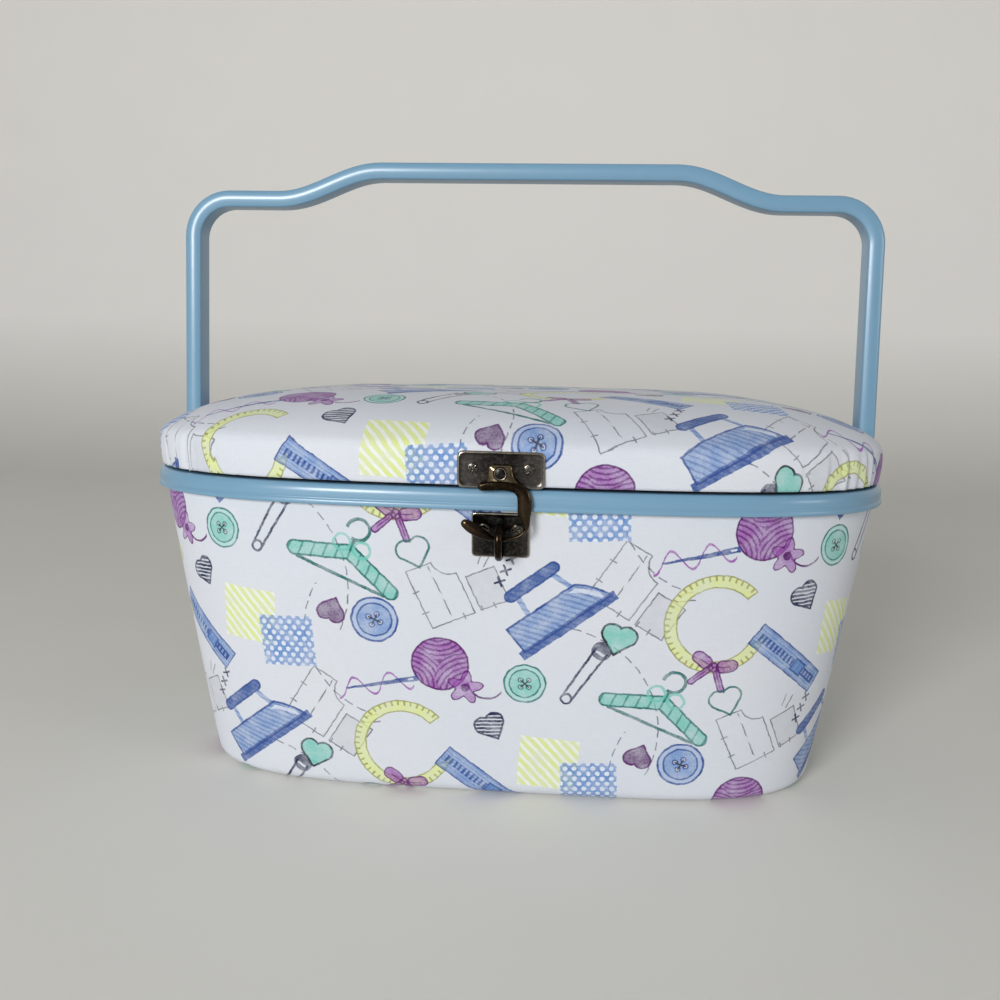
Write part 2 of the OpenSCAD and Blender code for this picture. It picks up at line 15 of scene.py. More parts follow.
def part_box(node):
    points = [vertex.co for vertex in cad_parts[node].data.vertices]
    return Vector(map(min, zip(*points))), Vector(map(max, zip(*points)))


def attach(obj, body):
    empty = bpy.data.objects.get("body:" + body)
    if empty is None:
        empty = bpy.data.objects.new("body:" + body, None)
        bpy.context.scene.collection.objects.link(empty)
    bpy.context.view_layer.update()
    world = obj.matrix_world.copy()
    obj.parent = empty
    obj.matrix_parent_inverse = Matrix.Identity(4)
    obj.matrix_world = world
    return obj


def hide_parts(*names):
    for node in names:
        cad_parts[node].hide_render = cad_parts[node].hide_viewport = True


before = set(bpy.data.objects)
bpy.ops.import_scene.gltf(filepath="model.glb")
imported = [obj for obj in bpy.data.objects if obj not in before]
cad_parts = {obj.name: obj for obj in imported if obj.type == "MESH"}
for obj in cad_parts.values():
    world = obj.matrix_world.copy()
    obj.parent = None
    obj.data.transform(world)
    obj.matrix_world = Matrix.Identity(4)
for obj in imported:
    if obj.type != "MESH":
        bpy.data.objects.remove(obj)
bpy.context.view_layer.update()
log = logging.getLogger("basket")

MM = 0.001
Colour = tuple[float, float, float]


def srgb(red: int, green: int, blue: int) -> Colour:
    """Turn a colour as a screen shows it into the linear one that shaders use.

    Args:
        red: Red, 0 to 255.
        green: Green, 0 to 255.
        blue: Blue, 0 to 255.

    Returns:
        The linear colour.
    """
    levels = [channel / 255 for channel in (red, green, blue)]
    return tuple(
        level / 12.92 if level <= 0.04045 else ((level + 0.055) / 1.055) ** 2.4
        for level in levels
    )


# Fields of numbers over a surface, written as arithmetic and held as shader nodes


class Sheet:
    """One shader node tree, with calls that add nodes and link them."""

    def __init__(self, tree: bpy.types.NodeTree) -> None:
        """Keep the tree that the nodes go into."""
        self.tree = tree

    def node(self, kind: str, inputs: dict, **settings: object) -> bpy.types.Node:
        """Add a node.

        Args:
            kind: The node's type name.
            inputs: What each input holds, by its name or number.
            settings: Properties of the node itself.

        Returns:
            The new node.
        """
        made = self.tree.nodes.new(kind)
        for name, value in settings.items():
            setattr(made, name, value)
        for name, value in inputs.items():
            self.feed(made.inputs[name], value)
        return made

    def feed(self, socket: bpy.types.NodeSocket, value: object) -> None:
        """Link a field to a socket, or set a plain value on it."""
        if isinstance(value, Field):
            self.tree.links.new(value.socket, socket)
        elif isinstance(value, bpy.types.NodeSocket):
            self.tree.links.new(value, socket)
        elif isinstance(value, tuple) and len(value) == 3 and socket.type == "RGBA":
            socket.default_value = (*value, 1.0)
        else:
            socket.default_value = value

    def math(self, operation: str, *terms: "Number", clamp: bool = False) -> "Field":
        """Add a Math node and return what it gives."""
        made = self.node("ShaderNodeMath", dict(enumerate(terms)), operation=operation)
        if clamp:
            made = self.node("ShaderNodeClamp", {"Value": made.outputs[0]})
        return Field(self, made.outputs[0])

    def vector(self, operation: str, *terms: object, scale: "Number" = 1.0) -> "Field":
        """Add a Vector Math node and return the vector or number that it gives."""
        inputs = dict(enumerate(terms))
        if operation == "SCALE":
            inputs["Scale"] = scale
        made = self.node("ShaderNodeVectorMath", inputs, operation=operation)
        number = operation in ("LENGTH", "DOT_PRODUCT", "DISTANCE")
        return Field(self, made.outputs["Value" if number else "Vector"])

    def split(self, point: "Field") -> tuple["Field", "Field", "Field"]:
        """Return the three parts of a vector field."""
        made = self.node("ShaderNodeSeparateXYZ", {0: point})
        return tuple(Field(self, output) for output in made.outputs)

    def join(self, x: "Number", y: "Number", z: "Number" = 0.0) -> "Field":
        """Return a vector field made of three parts."""
        return Field(self, self.node("ShaderNodeCombineXYZ", {0: x, 1: y, 2: z}).outputs[0])

    def mix(self, share: "Number", first: object, second: object) -> "Field":
        """Return a colour that goes from first to second as share goes from 0 to 1."""
        made = self.node("ShaderNodeMix", {0: share, 6: first, 7: second}, data_type="RGBA")
        return Field(self, made.outputs[2])

    def noise(self, point: "Field", scale: float, detail: float = 2.0) -> "Field":
        """Return smooth noise of the given scale, about 0 to 1."""
        made = self.node(
            "ShaderNodeTexNoise", {"Vector": point, "Scale": scale, "Detail": detail}
        )
        return Field(self, made.outputs["Fac"])

    def object_point(self) -> "Field":
        """Return the object coordinates in millimetres."""
        place = self.node("ShaderNodeTexCoord", {}).outputs["Object"]
        return self.vector("SCALE", place, scale=1 / MM)

    def uv_point(self, layer: str) -> "Field":
        """Return a UV layer's coordinates, which hold millimetres on the cloth."""
        return Field(self, self.node("ShaderNodeUVMap", {}, uv_map=layer).outputs[0])


@dataclass(frozen=True)
class Field:
    """A number or vector at each point of a surface, held as a node's output."""

    sheet: Sheet
    socket: bpy.types.NodeSocket

    def __add__(self, other: "Number") -> "Field":
        """Sum of two fields."""
        return self.sheet.math("ADD", self, other)

    def __sub__(self, other: "Number") -> "Field":
        """Difference of two fields."""
        return self.sheet.math("SUBTRACT", self, other)

    def __mul__(self, other: "Number") -> "Field":
        """Product of two fields."""
        return self.sheet.math("MULTIPLY", self, other)

    def __abs__(self) -> "Field":
        """Size of the field without its sign."""
        return self.sheet.math("ABSOLUTE", self)

    def times_plus(self, factor: "Number", more: "Number") -> "Field":
        """Return this field times a factor plus a further term."""
        return self.sheet.math("MULTIPLY_ADD", self, factor, more)

    def least(self, other: "Number") -> "Field":
        """Return the smaller of two fields."""
        return self.sheet.math("MINIMUM", self, other)

    def most(self, other: "Number") -> "Field":
        """Return the larger of two fields."""
        return self.sheet.math("MAXIMUM", self, other)

    def ink(self, edge: float = 0.25, spread: float = 0.1) -> "Field":
        """Turn a signed distance in millimetres into how much ink covers the point."""
        return self.sheet.math("MULTIPLY_ADD", self, -1 / edge, 0.5 + spread / edge, clamp=True)


Number = Union[Field, float]


# Outlines and meshes


def superellipse(half_x: float, half_y: float, power: float, turns: np.ndarray) -> np.ndarray:
    """Return points of a superellipse.

    Args:
        half_x: Half its length.
        half_y: Half its depth.
        power: Its squareness, where 2 is an ellipse.
        turns: Angles of the points, in radians.

    Returns:
        The points, one row each.
    """
    c, s = np.cos(turns), np.sin(turns)
    x = half_x * np.sign(c) * np.abs(c) ** (2 / power)
    y = half_y * np.sign(s) * np.abs(s) ** (2 / power)
    return np.stack([x, y], 1)


def outline_turns(half_x: float, half_y: float, power: float, count: int) -> np.ndarray:
    """Choose angles round a superellipse, half of them evenly spaced along it.

    The other half is even in angle, which gives the corners more points. The first point is
    in the middle of the rear, where the cloth has its seam.

    Args:
        half_x: Half the outline's length.
        half_y: Half the outline's depth.
        power: The outline's squareness.
        count: How many angles to give.

    Returns:
        The angles, rising.
    """
    start = math.pi / 2
    fine = start + np.linspace(0, 2 * math.pi, 8193)
    points = superellipse(half_x, half_y, power, fine)
    steps = np.linalg.norm(np.diff(points, axis=0), axis=1)
    along = np.concatenate([[0], np.cumsum(steps)])
    share = 0.5 * along / along[-1] + 0.5 * (fine - start) / (2 * math.pi)
    return np.interp(np.arange(count) / count, share, fine)


def ring_lengths(ring: np.ndarray) -> np.ndarray:
    """Return how far along a closed ring each of its points lies, with the whole length last."""
    steps = np.linalg.norm(np.diff(np.vstack([ring, ring[:1]]), axis=0), axis=1)
    return np.concatenate([[0], np.cumsum(steps)])


def at_height(points: np.ndarray, z: float) -> np.ndarray:
    """Lift flat points to a height."""
    return np.column_stack([points, np.full(len(points), z)])


class MeshMaker:
    """Gathers vertices, faces and cloth coordinates, and makes one object of them."""

    def __init__(self) -> None:
        """Start empty."""
        self.points: list[np.ndarray] = []
        self.faces: list[tuple[int, ...]] = []
        self.face_uvs: list[Sequence[tuple[float, float]]] = []
        self.total = 0

    def add_points(self, points: np.ndarray) -> int:
        """Add points and return the number of the first one."""
        first = self.total
        self.points.append(np.asarray(points, float))
        self.total += len(points)
        return first

    def loft(
        self,
        rings: Sequence[np.ndarray],
        cloth: Union[Sequence[np.ndarray], None] = None,
        caps: tuple[bool, bool] = (False, False),
        closed: bool = False,
    ) -> None:
        """Join rings of points by faces.

        Args:
            rings: Rings of equally many points, turning left seen from the end of the stack.
            cloth: For each ring its cloth coordinates, with one more row than the ring.
            caps: Whether the first and the last ring are filled.
            closed: Whether the last ring joins the first.
        """
        count = len(rings[0])
        first = self.add_points(np.vstack(rings))
        spans = len(rings) if closed else len(rings) - 1
        for k in range(spans):
            low, high = first + k * count, first + ((k + 1) % len(rings)) * count
            for i in range(count):
                j = (i + 1) % count
                self.faces.append((low + i, low + j, high + j, high + i))
                if cloth is None:
                    self.face_uvs.append(())
                else:
                    a, b = cloth[k], cloth[(k + 1) % len(rings)]
                    self.face_uvs.append((a[i], a[i + 1], b[i + 1], b[i]))
        for ring, wanted in ((0, caps[0]), (len(rings) - 1, caps[1])):
            if wanted:
                self.cap(first + ring * count, count, rings[ring], ring > 0, cloth and cloth[ring])

    def cap(
        self,
        first: int,
        count: int,
        ring: np.ndarray,
        outward: bool,
        cloth: Union[np.ndarray, None],
    ) -> None:
        """Fill a ring with a fan about its middle.

        Args:
            first: Number of the ring's first point.
            count: How many points the ring has.
            ring: The ring's points.
            outward: Whether the fan keeps the ring's own turn.
            cloth: The ring's cloth coordinates, or None.
        """
        middle = self.add_points(ring.mean(0, keepdims=True))
        uv_middle = None if cloth is None else tuple(np.mean(cloth[:-1], axis=0))
        for i in range(count):
            j = (i + 1) % count
            corners = (first + i, first + j, middle)
            uvs = () if cloth is None else (cloth[i], cloth[i + 1], uv_middle)
            self.faces.append(corners if outward else corners[::-1])
            self.face_uvs.append(uvs if outward else uvs[::-1])

    def build(self, name: str, material: bpy.types.Material, smooth: bool = True) -> bpy.types.Object:
        """Make the object.

        Args:
            name: The piece's name.
            material: What it is made of.
            smooth: Whether its faces are shaded smooth.

        Returns:
            The new object, at the origin.
        """
        mesh = bpy.data.meshes.new(name)
        mesh.from_pydata(np.vstack(self.points).tolist(), [], self.faces)
        if any(len(uvs) for uvs in self.face_uvs):
            layer = mesh.uv_layers.new(name=CLOTH_UV)
            flat = [uv for uvs in self.face_uvs for uv in uvs]
            layer.data.foreach_set("uv", np.asarray(flat, np.float32).ravel())
        mesh.materials.append(material)
        mesh.shade_smooth() if smooth else mesh.shade_flat()
        piece = bpy.data.objects.new(name, mesh)
        bpy.context.scene.collection.objects.link(piece)
        return piece


CLOTH_UV = "cloth"
CROWN_SIZES = (
    *(0.994, 0.988, 0.982, 0.975, 0.967, 0.958, 0.947, 0.934, 0.918, 0.9, 0.878, 0.852, 0.82),
    *(0.78, 0.73, 0.67, 0.6, 0.52, 0.43, 0.33, 0.22, 0.1),
)


def finish_modifiers(piece: bpy.types.Object) -> bpy.types.Object:
    """Apply every modifier of a piece and return it."""
    view = bpy.context.evaluated_depsgraph_get()
    made = bpy.data.meshes.new_from_object(piece.evaluated_get(view))
    piece.modifiers.clear()
    old = piece.data
    piece.data = made
    bpy.data.meshes.remove(old)
    return piece


def thicken(piece: bpy.types.Object, thickness: float) -> bpy.types.Object:
    """Give a sheet its thickness, inwards from its face."""
    solid = piece.modifiers.new("thickness", "SOLIDIFY")
    solid.thickness = thickness
    solid.offset = -1
    return finish_modifiers(piece)


def crease_by_angle(piece: bpy.types.Object, degrees: float = 35.0) -> bpy.types.Object:
    """Shade a piece smooth, with sharp edges where its faces meet at more than an angle."""
    mesh = bmesh.new()
    mesh.from_mesh(piece.data)
    limit = math.radians(degrees)
    for edge in mesh.edges:
        edge.smooth = len(edge.link_faces) != 2 or edge.calc_face_angle(0.0) < limit
    for face in mesh.faces:
        face.smooth = True
    mesh.to_mesh(piece.data)
    mesh.free()
    return piece


def eased_copy(
    node: str, name: str, material: bpy.types.Material, width: float, segments: int = 3
) -> bpy.types.Object:
    """Copy a CAD node with its edges rounded.

    Args:
        node: The CAD node.
        name: The new piece's name.
        material: What the piece is made of.
        width: How far the rounding reaches from each edge.
        segments: How many faces the rounding has.

    Returns:
        The new piece.
    """
    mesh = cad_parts[node].data.copy()
    mesh.name = name
    piece = bpy.data.objects.new(name, mesh)
    bpy.context.scene.collection.objects.link(piece)
    work = bmesh.new()
    work.from_mesh(mesh)
    bmesh.ops.remove_doubles(work, verts=work.verts, dist=1e-6)
    bmesh.ops.dissolve_limit(
        work, angle_limit=math.radians(1), verts=work.verts, edges=work.edges
    )
    work.to_mesh(mesh)
    work.free()
    mesh.materials.clear()
    mesh.materials.append(material)
    bevel = piece.modifiers.new("eased", "BEVEL")
    bevel.width = width
    bevel.segments = segments
    bevel.limit_method = "ANGLE"
    bevel.angle_limit = math.radians(30)
    bevel.harden_normals = False
    finish_modifiers(piece)
    return crease_by_angle(piece)


# Finishes


def new_material(name: str) -> tuple[bpy.types.Material, Sheet, bpy.types.Node]:
    """Make an empty material.

    Args:
        name: The material's name.

    Returns:
        The material, its sheet of nodes and its shader.
    """
    material = bpy.data.materials.new(name)
    material.use_nodes = True
    material.node_tree.nodes.clear()
    sheet = Sheet(material.node_tree)
    shader = sheet.node("ShaderNodeBsdfPrincipled", {})
    sheet.node("ShaderNodeOutputMaterial", {"Surface": shader.outputs[0]})
    return material, sheet, shader


def add_bump(sheet: Sheet, shader: bpy.types.Node, height: Field, depth: float) -> None:
    """Raise a surface by a height field.

    Args:
        sheet: The material's nodes.
        shader: Its shader.
        height: The field, about 0 to 1.
        depth: The height in metres that a field of 1 stands for.
    """
    bump = sheet.node("ShaderNodeBump", {"Height": height, "Distance": depth, "Strength": 1.0})
    sheet.feed(shader.inputs["Normal"], bump.outputs[0])


@dataclass(frozen=True)
class MouldedPlastic:
    """Glossy moulded plastic with a faint ripple and a little dust in its colour."""

    name: str
    colour: Colour
    roughness: float = 0.28
    scuff: float = 0.06
    ripple: float = 0.000004
    coat: float = 0.5

    def build(self) -> bpy.types.Material:
        """Make the material."""
        material, sheet, shader = new_material(self.name)
        place = sheet.object_point()
        cloud = sheet.noise(place, 0.035, 3.0)
        shade = tuple(channel * 0.95 for channel in self.colour)
        sheet.feed(shader.inputs["Base Color"], sheet.mix(cloud, shade, self.colour))
        scuff = sheet.noise(place, 0.4, 4.0)
        rough = scuff.times_plus(self.scuff, self.roughness - self.scuff / 2)
        sheet.feed(shader.inputs["Roughness"], rough)
        shader.inputs["Specular IOR Level"].default_value = 0.5
        shader.inputs["Coat Weight"].default_value = self.coat
        shader.inputs["Coat Roughness"].default_value = 0.2
        add_bump(sheet, shader, sheet.noise(place, 0.12, 3.0), self.ripple)
        return material


@dataclass(frozen=True)
class AgedMetal:
    """Dark patinated metal whose raised edges are worn to the bright alloy, with a painted reflection:
    darker round the middle (x near 0), lighter to the sides.
    """

    name: str
    dark: Colour
    bright: Colour
    roughness: float = 0.38
    wear: float = 1.0

    def build(self) -> bpy.types.Material:
        """Make the material."""
        material, sheet, shader = new_material(self.name)
        place = sheet.object_point()
        mottle = sheet.noise(place, 0.9, 5.0)
        raised = Field(sheet, sheet.node("ShaderNodeNewGeometry", {}).outputs["Pointiness"])
        rubbed = sheet.math("MULTIPLY_ADD", raised, 22.0, -11.5, clamp=True)
        rubbed = (rubbed + mottle * 0.3 - 0.14) * self.wear
        rubbed = sheet.math("MINIMUM", rubbed.most(0.0), 1.0)
        # Painted reflection: the colour darkens round x = 0 and stays lighter to the sides, standing in
        # for how the plates reflect the room.
        outer = abs(sheet.split(place)[0])
        outer = sheet.math("MULTIPLY_ADD", outer, 0.16, -0.9, clamp=True)
        painted_dark_middle = tuple(channel * 0.3 for channel in self.dark)
        ground = sheet.mix(outer, painted_dark_middle, self.dark)
        sheet.feed(shader.inputs["Base Color"], sheet.mix(rubbed, ground, self.bright))
        shader.inputs["Metallic"].default_value = 1.0
        rough = sheet.noise(place, 2.2, 4.0).times_plus(0.16, self.roughness - 0.08)
        sheet.feed(shader.inputs["Roughness"], rough)
        add_bump(sheet, shader, sheet.noise(place, 1.3, 4.0), 0.00003)
        return material


@dataclass(frozen=True)
class PlainCloth:
    """Woven cloth of one colour, with threads that cross at a given pitch."""

    name: str
    colour: Colour
    pitch: float = 0.7
    roughness: float = 0.85

    def build(self) -> bpy.types.Material:
        """Make the material."""
        material, sheet, shader = new_material(self.name)
        place = sheet.object_point()
        x, y, z = sheet.split(place)
        turn = 2 * math.pi / self.pitch
        warp = sheet.math("SINE", (x + z * 0.7) * turn)
        weft = sheet.math("SINE", (y + z * 0.7) * turn)
        weave = (warp * weft).times_plus(0.5, 0.5)
        slub = sheet.noise(sheet.join(x * 0.15, y * 2.0, z * 2.0), 0.5, 3.0)
        shade = tuple(channel * 0.78 for channel in self.colour)
        share = (weave * 0.35 + slub * 0.65).least(1.0)
        sheet.feed(shader.inputs["Base Color"], sheet.mix(share, shade, self.colour))
        shader.inputs["Roughness"].default_value = self.roughness
        shader.inputs["Sheen Weight"].default_value = 0.25
        add_bump(sheet, shader, weave + slub * 0.8, 0.00008)
        return material


@dataclass(frozen=True)
class PressedBoard:
    """Brown pressed fibre board."""

    name: str
    colour: Colour

    def build(self) -> bpy.types.Material:
        """Make the material."""
        material, sheet, shader = new_material(self.name)
        place = sheet.object_point()
        fibre = sheet.noise(place, 1.4, 6.0)
        shade = tuple(channel * 0.6 for channel in self.colour)
        sheet.feed(shader.inputs["Base Color"], sheet.mix(fibre, shade, self.colour))
        shader.inputs["Roughness"].default_value = 0.8
        add_bump(sheet, shader, fibre, 0.0001)
        return material


class Ink(Enum):
    """Colours of the print."""

    TEAL = srgb(112, 198, 184)
    SEA = srgb(34, 112, 108)
    BLUE = srgb(98, 142, 202)
    DEEP_BLUE = srgb(46, 76, 146)
    NAVY = srgb(26, 36, 78)
    PURPLE = srgb(154, 78, 172)
    PLUM = srgb(92, 26, 106)
    LIME = srgb(222, 232, 146)
    OLIVE = srgb(150, 148, 84)
    GRAPHITE = srgb(44, 44, 58)
    WHITE = srgb(238, 242, 249)


Layer = tuple[Field, Ink]


@dataclass(frozen=True)
class Brush:
    """Signed distances in millimetres from simple marks, at a motif's own point."""

    sheet: Sheet
    x: Field
    y: Field
    point: Field

    @classmethod
    def at(cls, sheet: Sheet, x: Field, y: Field) -> "Brush":
        """Hold a brush at a point given by its two parts."""
        return cls(sheet, x, y, sheet.join(x, y))

    def disc(self, x: float, y: float, radius: float) -> Field:
        """Distance from a filled circle."""
        away = self.sheet.vector("DISTANCE", self.point, (x, y, 0.0))
        return away - radius

    def ring(self, x: float, y: float, radius: float, width: float) -> Field:
        """Distance from a circle drawn with a line."""
        return abs(self.disc(x, y, radius)) - width / 2

    def box(self, x: float, y: float, half_x: float, half_y: float) -> Field:
        """Distance from a filled rectangle."""
        right, up = abs(self.x - x) if x else abs(self.x), abs(self.y - y) if y else abs(self.y)
        return (right - half_x).most(up - half_y)

    def frame(self, x: float, y: float, half_x: float, half_y: float, width: float) -> Field:
        """Distance from a rectangle drawn with a line."""
        return abs(self.box(x, y, half_x, half_y)) - width / 2

    def stroke(self, start: tuple, end: tuple, width: float) -> Field:
        """Distance from a straight stroke with round ends."""
        a, b = Vector((*start, 0.0)), Vector((*end, 0.0))
        span = b - a
        off = self.sheet.vector("SUBTRACT", self.point, tuple(a))
        share = self.sheet.vector("DOT_PRODUCT", off, tuple(span / span.length_squared))
        share = self.sheet.math("MULTIPLY", share, 1.0, clamp=True)
        near = self.sheet.vector("SCALE", tuple(span), scale=share)
        return self.sheet.vector("DISTANCE", off, near) - width / 2

    def strokes(self, marks: Sequence[tuple], width: float) -> Field:
        """Distance from several strokes, each given by its two ends."""
        nearest = self.stroke(marks[0][0], marks[0][1], width)
        for start, end in marks[1:]:
            nearest = nearest.least(self.stroke(start, end, width))
        return nearest

    def dashes(self, pitch: float, share: float = 0.6) -> Field:
        """Distance from dashes across the motif, to be joined with a line by most()."""
        wave = self.sheet.math("PINGPONG", self.x + self.y * 0.35, pitch / 2)
        return wave - pitch / 2 * share

    def arc_dashes(self, radius: float, pitch: float, share: float = 0.6) -> Field:
        """Distance from dashes round the motif's origin at a radius."""
        along = self.sheet.math("ARCTAN2", self.y, self.x) * radius
        wave = self.sheet.math("PINGPONG", along, pitch / 2)
        return wave - pitch / 2 * share


@dataclass(frozen=True)
class Motif:
    """A drawing in the print: where it stands in the repeat, its turn and its scale."""

    x: float
    y: float
    turn: float = 0.0
    scale: float = 1.0

    def draw(self, brush: Brush) -> list[Layer]:
        """Return how much of each ink covers a point, first layer lowest."""
        raise NotImplementedError


class HeartStyle(Enum):
    """Ways to fill a heart."""

    OUTLINE = "outline"
    FILLED = "filled"
    STRIPED = "striped"


@dataclass(frozen=True)
class Heart(Motif):
    """A heart, about 13 mm across at scale 1."""

    style: HeartStyle = HeartStyle.FILLED
    fill: Ink = Ink.TEAL
    line: Ink = Ink.GRAPHITE

    def draw(self, brush: Brush) -> list[Layer]:
        """Join two lobes and a turned square into a heart, then fill it."""
        sheet = brush.sheet
        x, y = brush.x, brush.y
        side, radius, slant = abs(x), 3.7, math.sqrt(0.5)
        middle = (radius * slant, radius * slant, 0.0)
        lobe = sheet.vector("DISTANCE", sheet.join(side, y), middle) - radius
        body = (side + abs(y)) * slant - radius
        shape = lobe.least(body)
        outline = (abs(shape) - 0.32).ink()
        layers: list[Layer] = []
        if self.style is HeartStyle.FILLED:
            layers.append((shape.ink() * 0.85, self.fill))
        if self.style is HeartStyle.STRIPED:
            bars = sheet.math("PINGPONG", x * 0.5 + y, 0.9) - 0.5
            layers.append((bars.most(shape).ink(), self.fill))
        layers.append((outline, self.line))
        return layers


@dataclass(frozen=True)
class Button(Motif):
    """A four-hole button, 22 mm across at scale 1."""

    fill: Ink = Ink.BLUE
    line: Ink = Ink.DEEP_BLUE

    def draw(self, brush: Brush) -> list[Layer]:
        """Draw the disc, its rim, and four holes with thread across them."""
        sheet = brush.sheet
        x, y = brush.x, brush.y
        quarter = sheet.join(abs(x), abs(y))
        holes = sheet.vector("DISTANCE", quarter, (2.1, 2.1, 0.0)) - 1.15
        disc = brush.disc(0, 0, 11)
        lines = (abs(disc) - 0.4).least(abs(brush.disc(0, 0, 8.2)) - 0.3)
        lines = lines.least(abs(holes) - 0.3)
        thread = brush.strokes([((-2.1, -2.1), (2.1, 2.1)), ((-2.1, 2.1), (2.1, -2.1))], 0.7)
        return [
            (disc.ink() * 0.85, self.fill),
            (brush.ring(0, 0, 9.6, 1.4).ink() * 0.35, Ink.WHITE),
            (holes.ink(), Ink.WHITE),
            (lines.ink(), self.line),
            (thread.ink(), Ink.GRAPHITE),
        ]


@dataclass(frozen=True)
class YarnBall(Motif):
    """A ball of yarn with its loose end, 24 mm across at scale 1."""

    fill: Ink = Ink.PURPLE
    line: Ink = Ink.PLUM

    def draw(self, brush: Brush) -> list[Layer]:
        """Wind three bundles of arcs over a disc."""
        sheet = brush.sheet
        ball = brush.disc(0, 0, 12)
        first = sheet.math("PINGPONG", brush.disc(-16, -6, 0), 1.1) - 0.35
        second = sheet.math("PINGPONG", brush.disc(9, -17, 0), 1.1) - 0.35
        third = sheet.math("PINGPONG", brush.disc(4, 19, 0), 1.1) - 0.35
        low = brush.disc(7, -8, 11)
        high = brush.disc(5, 10, 10)
        winding = sheet.math("MAXIMUM", first, (low * -1.0).most(high * -1.0))
        winding = winding.least(second.most(low)).least(third.most(high).most(low * -1.0))
        tail = brush.ring(17, -12, 8.0, 0.7).most(brush.box(13, -16, 9, 5))
        return [
            (ball.ink() * 0.9, self.fill),
            (winding.most(ball).ink() * 0.8, self.line),
            ((abs(ball) - 0.3).ink(), self.line),
            (tail.ink(), self.line),
        ]


class PatchStyle(Enum):
    """Weaves of a cut patch."""

    DOTS = "dots"
    STRIPES = "stripes"
    CHECKS = "checks"


@dataclass(frozen=True)
class Patch(Motif):
    """A patch with pinked edges, 25 mm across at scale 1."""

    style: PatchStyle = PatchStyle.DOTS
    fill: Ink = Ink.BLUE

    def draw(self, brush: Brush) -> list[Layer]:
        """Cut a square with notched edges and print its weave on it."""
        sheet = brush.sheet
        x, y = brush.x, brush.y
        notch = sheet.math("PINGPONG", x, 0.9) + sheet.math("PINGPONG", y, 0.9)
        patch = brush.box(0, 0, 12, 11.2) + notch * 0.45
        inside = patch.ink()
        if self.style is PatchStyle.DOTS:
            row = sheet.math("FLOOR", y * (1 / 2.4))
            shift = x + sheet.math("PINGPONG", row, 1.0) * 1.9
            u = sheet.math("WRAP", shift, -1.9, 1.9)
            v = sheet.math("WRAP", y, 0.0, 2.4) - 1.2
            mark = sheet.vector("LENGTH", sheet.join(u, v)) - 1.0
        elif self.style is PatchStyle.STRIPES:
            mark = sheet.math("PINGPONG", x * 0.7 + y * 0.7, 1.5) - 0.62
        else:
            bar = sheet.math("PINGPONG", x, 1.5) - 0.7
            mark = bar.least(sheet.math("PINGPONG", y, 1.5) - 0.7)
        return [(inside * 0.95, self.fill), (inside * mark.ink(0.25, 0.0) * 0.9, Ink.WHITE)]


@dataclass(frozen=True)
class PatternDraft(Motif):
    """A dressmaker's draft in thin lines: a yoke, a band and their notches."""

    line: Ink = Ink.GRAPHITE

    def draw(self, brush: Brush) -> list[Layer]:
        """Draw two panels, their notches and a dashed fold line."""
        panel = brush.frame(-7, 0, 8, 11, 0.22)
        panel = panel.most(brush.disc(1, 11, 6.5) * -1.0)
        band = brush.frame(8.5, -4.5, 5.2, 6.5, 0.22)
        curve = brush.ring(1, 11, 6.5, 0.25).most(brush.box(-7, 0, 8, 11))
        fold = brush.stroke((-7, -10), (-7, 10), 0.25).most(brush.dashes(3.0))
        notches = brush.strokes(
            [
                ((-15.8, 3), (-13.6, 3)),
                ((-15.8, -5), (-13.6, -5)),
                ((4, -11.4), (4, -9.6)),
                ((8.5, -12), (8.5, -10)),
                ((-3, -12), (-3, -9.8)),
                ((10.5, 3.2), (14.5, 6.4)),
                ((9.3, 4.9), (12.1, 8.3)),
            ],
            0.25,
        )
        lines = panel.least(band).least(curve).least(fold).least(notches)
        return [
            (brush.box(8.5, -4.5, 5.2, 6.5).ink() * 0.12, Ink.GRAPHITE),
            (lines.ink(0.3) * 0.85, self.line),
        ]


@dataclass(frozen=True)
class SafetyPin(Motif):
    """A closed safety pin, 30 mm long at scale 1."""

    line: Ink = Ink.NAVY

    def draw(self, brush: Brush) -> list[Layer]:
        """Draw two arms, the coil and the cap."""
        arms = brush.strokes([((-13, 2), (11, 2.6)), ((-13, -2), (11, -2.6))], 0.8)
        coil = brush.ring(-14, 0, 2.1, 0.8)
        cap = brush.disc(11.5, 0, 4.0)
        return [
            (cap.ink() * 0.9, self.line),
            (brush.stroke((10.2, -1.6), (10.2, 1.6), 0.8).ink(), Ink.WHITE),
            (arms.least(coil).ink(), self.line),
        ]


@dataclass(frozen=True)
class ThreadedNeedle(Motif):
    """A needle with a looping thread."""

    line: Ink = Ink.DEEP_BLUE
    thread: Ink = Ink.PURPLE

    def draw(self, brush: Brush) -> list[Layer]:
        """Draw the tapered shaft, its eye and the thread."""
        sheet = brush.sheet
        x, y = brush.x, brush.y
        taper = x.times_plus(0.028, 0.72)
        shaft = (abs(y) - taper).most(abs(x) - 15)
        eye = brush.stroke((11.5, 0), (13.2, 0), 0.55)
        sway = sheet.math("SINE", x * 0.42) * 4.2
        run = abs(y - sway) * 0.72 - 0.3
        run = run.most(brush.box(-3, 0, 16, 7))
        return [
            (run.ink(), self.thread),
            (shaft.ink(), self.line),
            (eye.ink(), Ink.WHITE),
        ]


